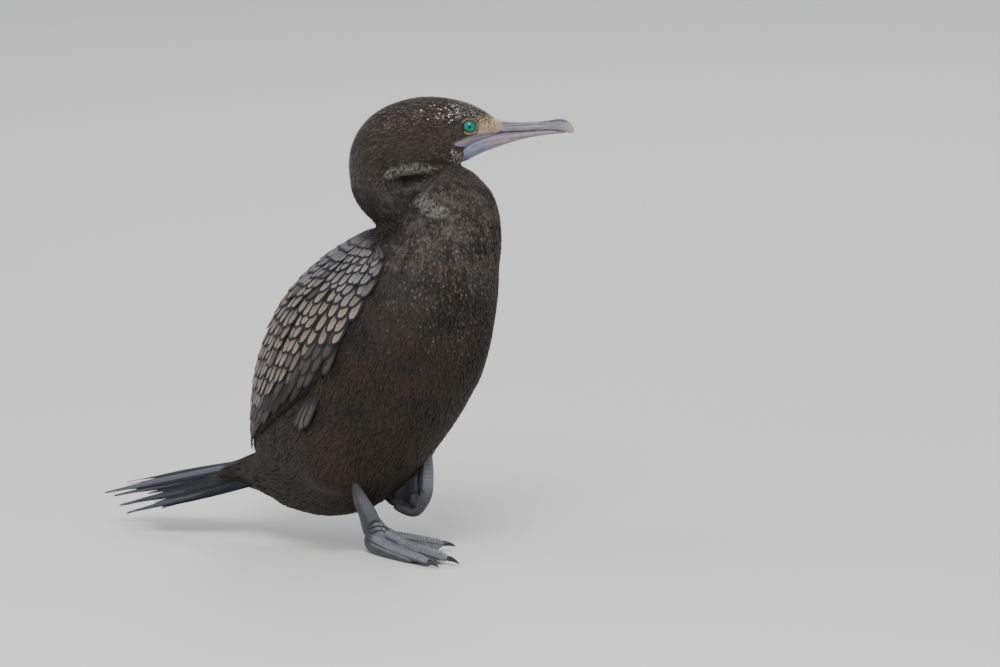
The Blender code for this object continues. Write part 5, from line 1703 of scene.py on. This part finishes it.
# Folds of the ankle in the side plane of the leg: how far forward and how high, in millimetres.
ANKLE_CREASES = (((-29.3, 18.9), (-25.8, 20.2), (-22.3, 21.3), (-18.7, 21.0), (-16.2, 19.2)),
                 ((-28.8, 21.0), (-26.4, 23.2), (-24.7, 24.3), (-21.5, 24.5)),
                 ((-28.8, 17.2), (-25.0, 17.0), (-22.0, 18.2), (-19.8, 18.5), (-18.2, 17.2)))
FOOT_CUBE = 0.00040

# %% Tubes
AHEAD, UP = np.array((1.0, 0.0, 0.0)), np.array((0.0, 0.0, 1.0))
PATH_STEPS = 40
WEB_GRID, WEB_HIGH, WEB_SLACK = (28, 14), 1.05, 0.12
WEB_SAG, WEB_THICK, WEB_LOWEST = 0.0010, 0.0012, 0.00085


def tube(rows, rings, sides, up, blunt):
    """A round-ended tube along a path; a row is a point, half depth and half width, or a radius."""
    rows = smooth_rows(rows, rings + 1)
    points = rows[:, :3] + MIDLINE
    ahead = unit(np.gradient(points, axis=0))
    across = unit(np.cross(up, ahead))
    lift = np.cross(ahead, across)

    def place(s, t):
        k = min(int(round(s * rings)), rings)
        end = min(s, 1 - s) / blunt
        share = math.sqrt(max(0.0, 1 - (1 - min(end, 1)) ** 2)) if 0 < s < 1 else 0.0
        angle = 2 * math.pi * t
        return points[k] + (lift[k] * rows[k, 3] * math.cos(angle)
                            + across[k] * rows[k, -1] * math.sin(angle)) * share

    return wrapped(rings, sides, place)


# %% Webs and knobs
def point_on(rows, share):
    """The point that far along smoothed rows, from 0 to 1."""
    at = share * (len(rows) - 1)
    k = min(int(at), len(rows) - 2)
    return (rows[k] + (rows[k + 1] - rows[k]) * (at - k))[:3]


def sheet(grid, place, thickness):
    """A thin skin bent to a form."""
    form = bent_grid(*grid, place)
    bmesh.ops.recalc_face_normals(form, faces=form.faces)
    return thickened(form, thickness)


def web(first, second):
    """The skin between two toes: it hangs in a little between their tips, and wrinkles."""
    inner, outer = smooth_rows(first, PATH_STEPS), smooth_rows(second, PATH_STEPS)

    def place(s, t):
        hang = math.sin(math.pi * t)
        share = s * (1 - WEB_SLACK * hang)
        point = point_on(inner, share) * (1 - t) + point_on(outer, share) * t + MIDLINE
        fold = 0.0004 * math.sin(t * 17 + s * 2.5) + 0.00025 * math.sin(s * 46 + t * 5)
        level = point[2] * (WEB_HIGH + 0.12 * (1 - s)) + (fold - WEB_SAG) * hang
        point[2] = max(level, WEB_LOWEST)
        return point

    return sheet(WEB_GRID, place, WEB_THICK)


def ball(middle, reach):
    """A rounded knob of flesh."""
    form = bmesh.new()
    bmesh.ops.create_uvsphere(form, u_segments=24, v_segments=16, radius=1.0)
    place = Matrix.Translation(Vector(middle)) @ Matrix.Diagonal((*reach, 1.0))
    bmesh.ops.transform(form, matrix=place, verts=form.verts)
    return form


# %% Plates of the toes and the shin
PLATE_STEP, PLATE_RISE, FOLD_RISE = 0.0018, 0.00030, 0.00045
CREASE_NARROW, RIDGE_AWAY, CREASE_FRONT, CREASE_FADE = 0.00045, 0.00115, (-0.029, -0.021), (0.0022, 0.0012)
# The side plane of the leg: out of it, ahead in it and up in it.
SIDE_OUT, SIDE_AHEAD, SIDE_UP = (0.616, -0.788, 0), (0.788, 0.616, 0), (-0.107, 0.137, 0.985)


def plate_height(place):
    """A row of plates along a path: each rises quickly and sinks slowly, from 0 to 1."""
    phase = place % 1.0
    return np.minimum(phase / 0.25, (1 - phase) / 0.75)


def toe_plates(points, normals, toes, up):
    """How high the plates of the toes stand, and where they are, on the side that up tells."""
    plate, on_toe = np.zeros(len(points)), np.zeros(len(points))
    top = slope(normals @ up, -0.05, 0.40)
    for number, rows in enumerate(toes):
        fine = smooth_rows(rows, PATH_STEPS)
        away, place = segment_distance(points, fine[:, :3] + MIDLINE)
        lengths = np.linalg.norm(np.diff(fine[:, :3], axis=0), axis=1).cumsum()
        radius = np.interp(place, np.append(0, lengths), fine[:, 3])
        near = slope(away, radius * 1.45, radius * 1.15) * slope(place, 0.006, 0.012) * top
        better = near > on_toe
        plate[better] = (plate_height(place / PLATE_STEP + number * 0.37) * near)[better]
        on_toe[better] = near[better]
    return plate, on_toe


def shin_plates(points, normals, tarsus, on_toe):
    """The same for the front of the shin."""
    shin = smooth_rows(tarsus, PATH_STEPS)[:, :3]
    away, place = segment_distance(points, shin + MIDLINE)
    total = np.linalg.norm(np.diff(shin, axis=0), axis=1).sum()
    front = slope(normals[:, 0], 0.15, 0.6) * slope(away, 0.0085, 0.0065) * (1 - on_toe)
    plate = plate_height(place / (PLATE_STEP * 1.25)) * front * slope(place, total * 0.96, total * 0.8)
    return plate * 0.70, front


# %% Folds of the ankle, and the dressed leg
def ankle_folds(points, normals, creases):
    """How far the ankle's folds stand out or in, and how much of the plates they leave."""
    over, rise = points @ SIDE_AHEAD, points @ SIDE_UP
    side_on, flat = slope(normals @ SIDE_OUT, -0.2, 0.3), np.stack([over, rise], 1)
    folds, left = np.zeros(len(points)), np.ones(len(points))
    for line in creases:
        away, _ = segment_distance(flat, np.array(line) * MM)
        ridge = bell(away - RIDGE_AWAY, CREASE_NARROW) * slope(over, *CREASE_FRONT)
        folds += (ridge * 0.7 - 1.3 * bell(away, CREASE_NARROW)) * side_on
        left *= 1 - 0.8 * slope(away, *CREASE_FADE)
    uneven = 0.75 + 0.35 * np.sin(over * 1900) * np.sin(rise * 1300)
    return np.clip(folds * uneven, -1.2, 0.9), left


def dress_leg(mesh, toes, tarsus, up, creases, relief):
    """Raises plates on the tops of the toes and folds at the ankle, and keeps them for paint."""
    points, normals = read_vertices(mesh, "co"), read_vertices(mesh, "normal")
    plate, on_toe = toe_plates(points, normals, toes, unit(np.array(up)))
    shin, front = shin_plates(points, normals, tarsus, on_toe)
    folds, left = ankle_folds(points, normals, creases)
    plate = np.maximum(plate, shin) * relief * left
    moved = points + normals * (PLATE_RISE * plate + FOLD_RISE * folds)[:, None]
    moved[:, 2] = np.maximum(moved[:, 2], 0.0)
    scutes = np.stack([plate, np.maximum(on_toe, front), folds], 1)
    held = mesh.attributes.new("scutes", "FLOAT_VECTOR", "POINT")
    held.data.foreach_set("vector", scutes.astype(np.float32).ravel())
    place_vertices(mesh, moved)


# %% Finish of the legs
# Painted light and shade among these colours: a painted highlight on the crests of the plates, painted
# shade in the ankle's creases, on the lower curled toes and on the shin under the belly, and painted light
# on the tops of the drawn-up foot.
LEG_DARK, LEG_GREY, TOE_TOP = (0.034, 0.035, 0.042), (0.070, 0.072, 0.086), (0.200, 0.204, 0.226)
PLATE_GLINT, PLATE_GAP, FOLD_PALE = (0.44, 0.425, 0.41), (0.016, 0.016, 0.020), (0.32, 0.31, 0.28)
FOLD_SHADE, SCALE_GAP, CURLED_SHADE = (0.010, 0.010, 0.012), (0.012, 0.012, 0.015), (0.022, 0.019, 0.016)
DRAWN_UP_LIGHT, UNDER_BELLY_SHADE = (0.22, 0.225, 0.25), (0.030, 0.027, 0.024)


def leg_finish():
    material, place, shader = new_finish("leg_skin_scaled", Specular_IOR_Level=0.45)
    plate, top, folds = place.stored("scutes")
    cells, cloud = place.cells(900, "DISTANCE_TO_EDGE"), place.noise(130, 3)
    _, left, height = place.parts()
    # The lower part of the curled toes, tucked under the belly, gets painted shade.
    curled = left.step(0.005, 0.010) * height.step(0.014, 0.020) * height.step(0.041, 0.034)
    # The tops of the drawn-up foot get painted light.
    drawn_up_lit = left.step(0.005, 0.010) * height.step(0.036, 0.044)
    # The top of the standing shin, under the belly, gets painted shade.
    under_belly_shade = left.step(-0.008, -0.016) * height.step(0.034, 0.050)
    # Pale in patches on the crests of the plates: a painted highlight.
    wear_and_glint = plate.step(0.55, 1.0) * place.noise(350, 3).step(0.35, 0.60)
    lit = folds.step(0.1, 0.6) * place.noise(420, 3).step(0.42, 0.58)
    colour = cloud.step(0.3, 0.7).tint(LEG_DARK, LEG_GREY)
    colour = (top * 0.72).tint(colour, TOE_TOP)
    colour = (wear_and_glint * 0.85).tint(colour, PLATE_GLINT)
    colour = (top * plate.step(0.25, 0.0) * 0.6).tint(colour, PLATE_GAP)
    colour = (lit * 0.85).tint(colour, FOLD_PALE)
    # Painted shade in the creases of the ankle's folds.
    colour = (folds.step(-0.1, -0.6) * 0.8).tint(colour, FOLD_SHADE)
    colour = (cells.step(0.10, 0.0) * 0.45).tint(colour, SCALE_GAP)
    colour = (curled * 0.60).tint(colour, CURLED_SHADE)
    colour = (drawn_up_lit * top * 0.45).tint(colour, DRAWN_UP_LIGHT)
    colour = (under_belly_shade * 0.75).tint(colour, UNDER_BELLY_SHADE)
    feed(shader, Base_Color=colour, Roughness=0.44 + cloud * 0.2,
         Normal=bumped(cells.step(0.0, 0.25), 0.00018, 0.6))
    return material


# %% The standing leg
HEEL, HEEL_REACH = (-0.0399, -0.0057, 0.0078), (0.0058, 0.0062, 0.0078)
RIGHT_TOPS, TOE_SIDES, SHIN_SIDES, TOE_BLUNT = (0.35, -0.45, 0.80), 20, 24, 0.12
leg_paint = leg_finish()


def standing_leg():
    toes = list(TOES_RIGHT.values())
    forms = [tube(rows, 40, TOE_SIDES, UP, TOE_BLUNT) for rows in toes]
    forms += [tube(rows, 30, TOE_SIDES, UP, TOE_BLUNT) for rows in (SOLE_RIGHT, INSTEP_RIGHT)]
    forms += [web(*pair) for pair in zip(toes, toes[1:])]
    forms.append(tube(TARSUS_RIGHT, 40, SHIN_SIDES, AHEAD, 0.04))
    forms.append(ball(MIDLINE + HEEL, HEEL_REACH))
    mesh = remeshed(gather(forms), FOOT_CUBE, 5)
    dress_leg(mesh, [*toes, INSTEP_RIGHT], TARSUS_RIGHT, RIGHT_TOPS, ANKLE_CREASES, 1.0)
    return mesh


settle("leg_standing", standing_leg(), leg_paint, ("tarsus_right", "foot_right"))

# %% [markdown]
# ## The lifted foot
#
# The other foot is drawn up against the belly. Its toes curl back and its webs fold between them
# like a closed umbrella, so the gap between the toes and the belly is filled by dark pleats.

# %% The lifted leg
PLEAT_GRID, PLEAT_THICK, PLEAT_WAVE, PLEATS = (26, 14), 0.0013, 0.0016, (-0.0016, 0.0024, 0.0088)
LEFT_TOPS, LEFT_RELIEF = (0.75, -0.45, 0.25), 0.55


def toe_left(offset, share=1.0):
    """One curled toe, that far along the row of toes and that share as thick."""
    rows = []
    for k, (ahead, left, height, radius) in enumerate(TOE_LEFT):
        shift = TOE_ROW * offset * min(1.0, 0.5 + 0.17 * k)
        rows.append((ahead + shift[0], left + shift[1], height + shift[2], radius * share))
    return rows


def pleat(number, offset):
    """One pleat of the closed web, from the curled toe up to the line between its ends."""
    rows = smooth_rows(toe_left(offset), PATH_STEPS)
    high, far = np.array(PLEAT_TOP), np.array(PLEAT_END)

    def place(s, t):
        chord = high + (far - high) * s + TOE_ROW * offset * 0.5
        wave = math.sin(s * 17 + number * 2.1 + t * 4) * math.sin(math.pi * min(t * 1.1, 1))
        middle = point_on(rows, s) * (1 - t) + chord * t + MIDLINE
        return middle + TOE_ROW * PLEAT_WAVE * wave

    return sheet(PLEAT_GRID, place, PLEAT_THICK)


def lifted_leg():
    toes = [toe_left(*values) for values in TOES_LEFT.values()]
    forms = [tube(rows, 40, TOE_SIDES, TOE_ROW, 0.07) for rows in toes]
    forms += [pleat(number, offset) for number, offset in enumerate(PLEATS)]
    forms.append(tube(TARSUS_LEFT, 30, SHIN_SIDES, AHEAD, 0.08))
    forms.append(ball(MIDLINE + KNUCKLE, KNUCKLE_REACH))
    mesh = remeshed(gather(forms), FOOT_CUBE, 4)
    dress_leg(mesh, toes, TARSUS_LEFT, LEFT_TOPS, (), LEFT_RELIEF)
    return mesh


settle("leg_lifted", lifted_leg(), leg_paint, ("tarsus_left", "foot_left"))

# %% [markdown]
# ## Claws
#
# The claws are short black hooks. Each is a tube that starts inside the toe, swells a little
# where it leaves the skin, and curves down to a point.

# %% Claws
CLAW_LONG_RIGHT, CLAW_INNER_RIGHT, CLAW_LONG_LEFT = 0.0096, 0.0078, 0.0086
CLAW_RADIUS, CLAW_FLAT = 0.0018, 0.78
CLAW_SUNK, CLAW_LOWEST, CLAW_PROUD, CLAW_HOOK = 0.0004, 0.0036, 0.0014, 0.30
CLAW_DOWN_RIGHT, CLAW_DOWN_LEFT = np.array((0, 0, -0.85)), np.array((0.3, 0, 0.9))
CLAW_UP = np.array((0.1, 0.2, 1.0))
# How far along a claw each row lies, and its share of the radius.
CLAW_ROWS = ((-0.30, 0.70), (0.0, 1.0), (0.30, 0.86), (0.60, 0.60), (0.85, 0.32), (1.0, 0.10))
CLAW_TONES = (0.007, 0.007, 0.008), (0.040, 0.038, 0.040)


def claw_form(start, along, down, length):
    rows = []
    for at, share in CLAW_ROWS:
        point = start + along * length * at + down * length * CLAW_HOOK * max(at, 0) ** 2
        rows.append((*point, CLAW_RADIUS * share, CLAW_RADIUS * CLAW_FLAT * share))
    return tube(rows, 26, 18, CLAW_UP, 0.05)


def claw_finish():
    material, place, shader = new_finish("claw_black_horn", Specular_IOR_Level=0.5)
    streak = place.noise(900, 4, 0.6)
    feed(shader, Base_Color=streak.step(0.3, 0.8).tint(*CLAW_TONES),
         Roughness=0.30 + streak * 0.2, Normal=bumped(streak, 0.00012, 0.4))
    return material


def toe_end(rows, flatten):
    """The last point of a toe, and the way that it points there."""
    last, before = (np.array(row[:3]) for row in (rows[-1], rows[-2]))
    return last, unit((last - before) * flatten)


claw_paint = claw_finish()
for key, rows in TOES_RIGHT.items():
    last, along = toe_end(rows, (1, 1, 0))
    start = last - along * CLAW_SUNK
    start[2] = max(CLAW_LOWEST, last[2] + CLAW_SUNK)
    long = CLAW_INNER_RIGHT if key == "inner" else CLAW_LONG_RIGHT
    claw = claw_form(start, along, CLAW_DOWN_RIGHT, long)
    settle("nail_right_" + key, claw, claw_paint, ("claw_right_" + key,))
for key, values in TOES_LEFT.items():
    last, along = toe_end(toe_left(*values), (1, 1, 1))
    claw = claw_form(last + along * CLAW_PROUD, along, CLAW_DOWN_LEFT, CLAW_LONG_LEFT)
    settle("nail_left_" + key, claw, claw_paint, ("claw_left_" + key,))
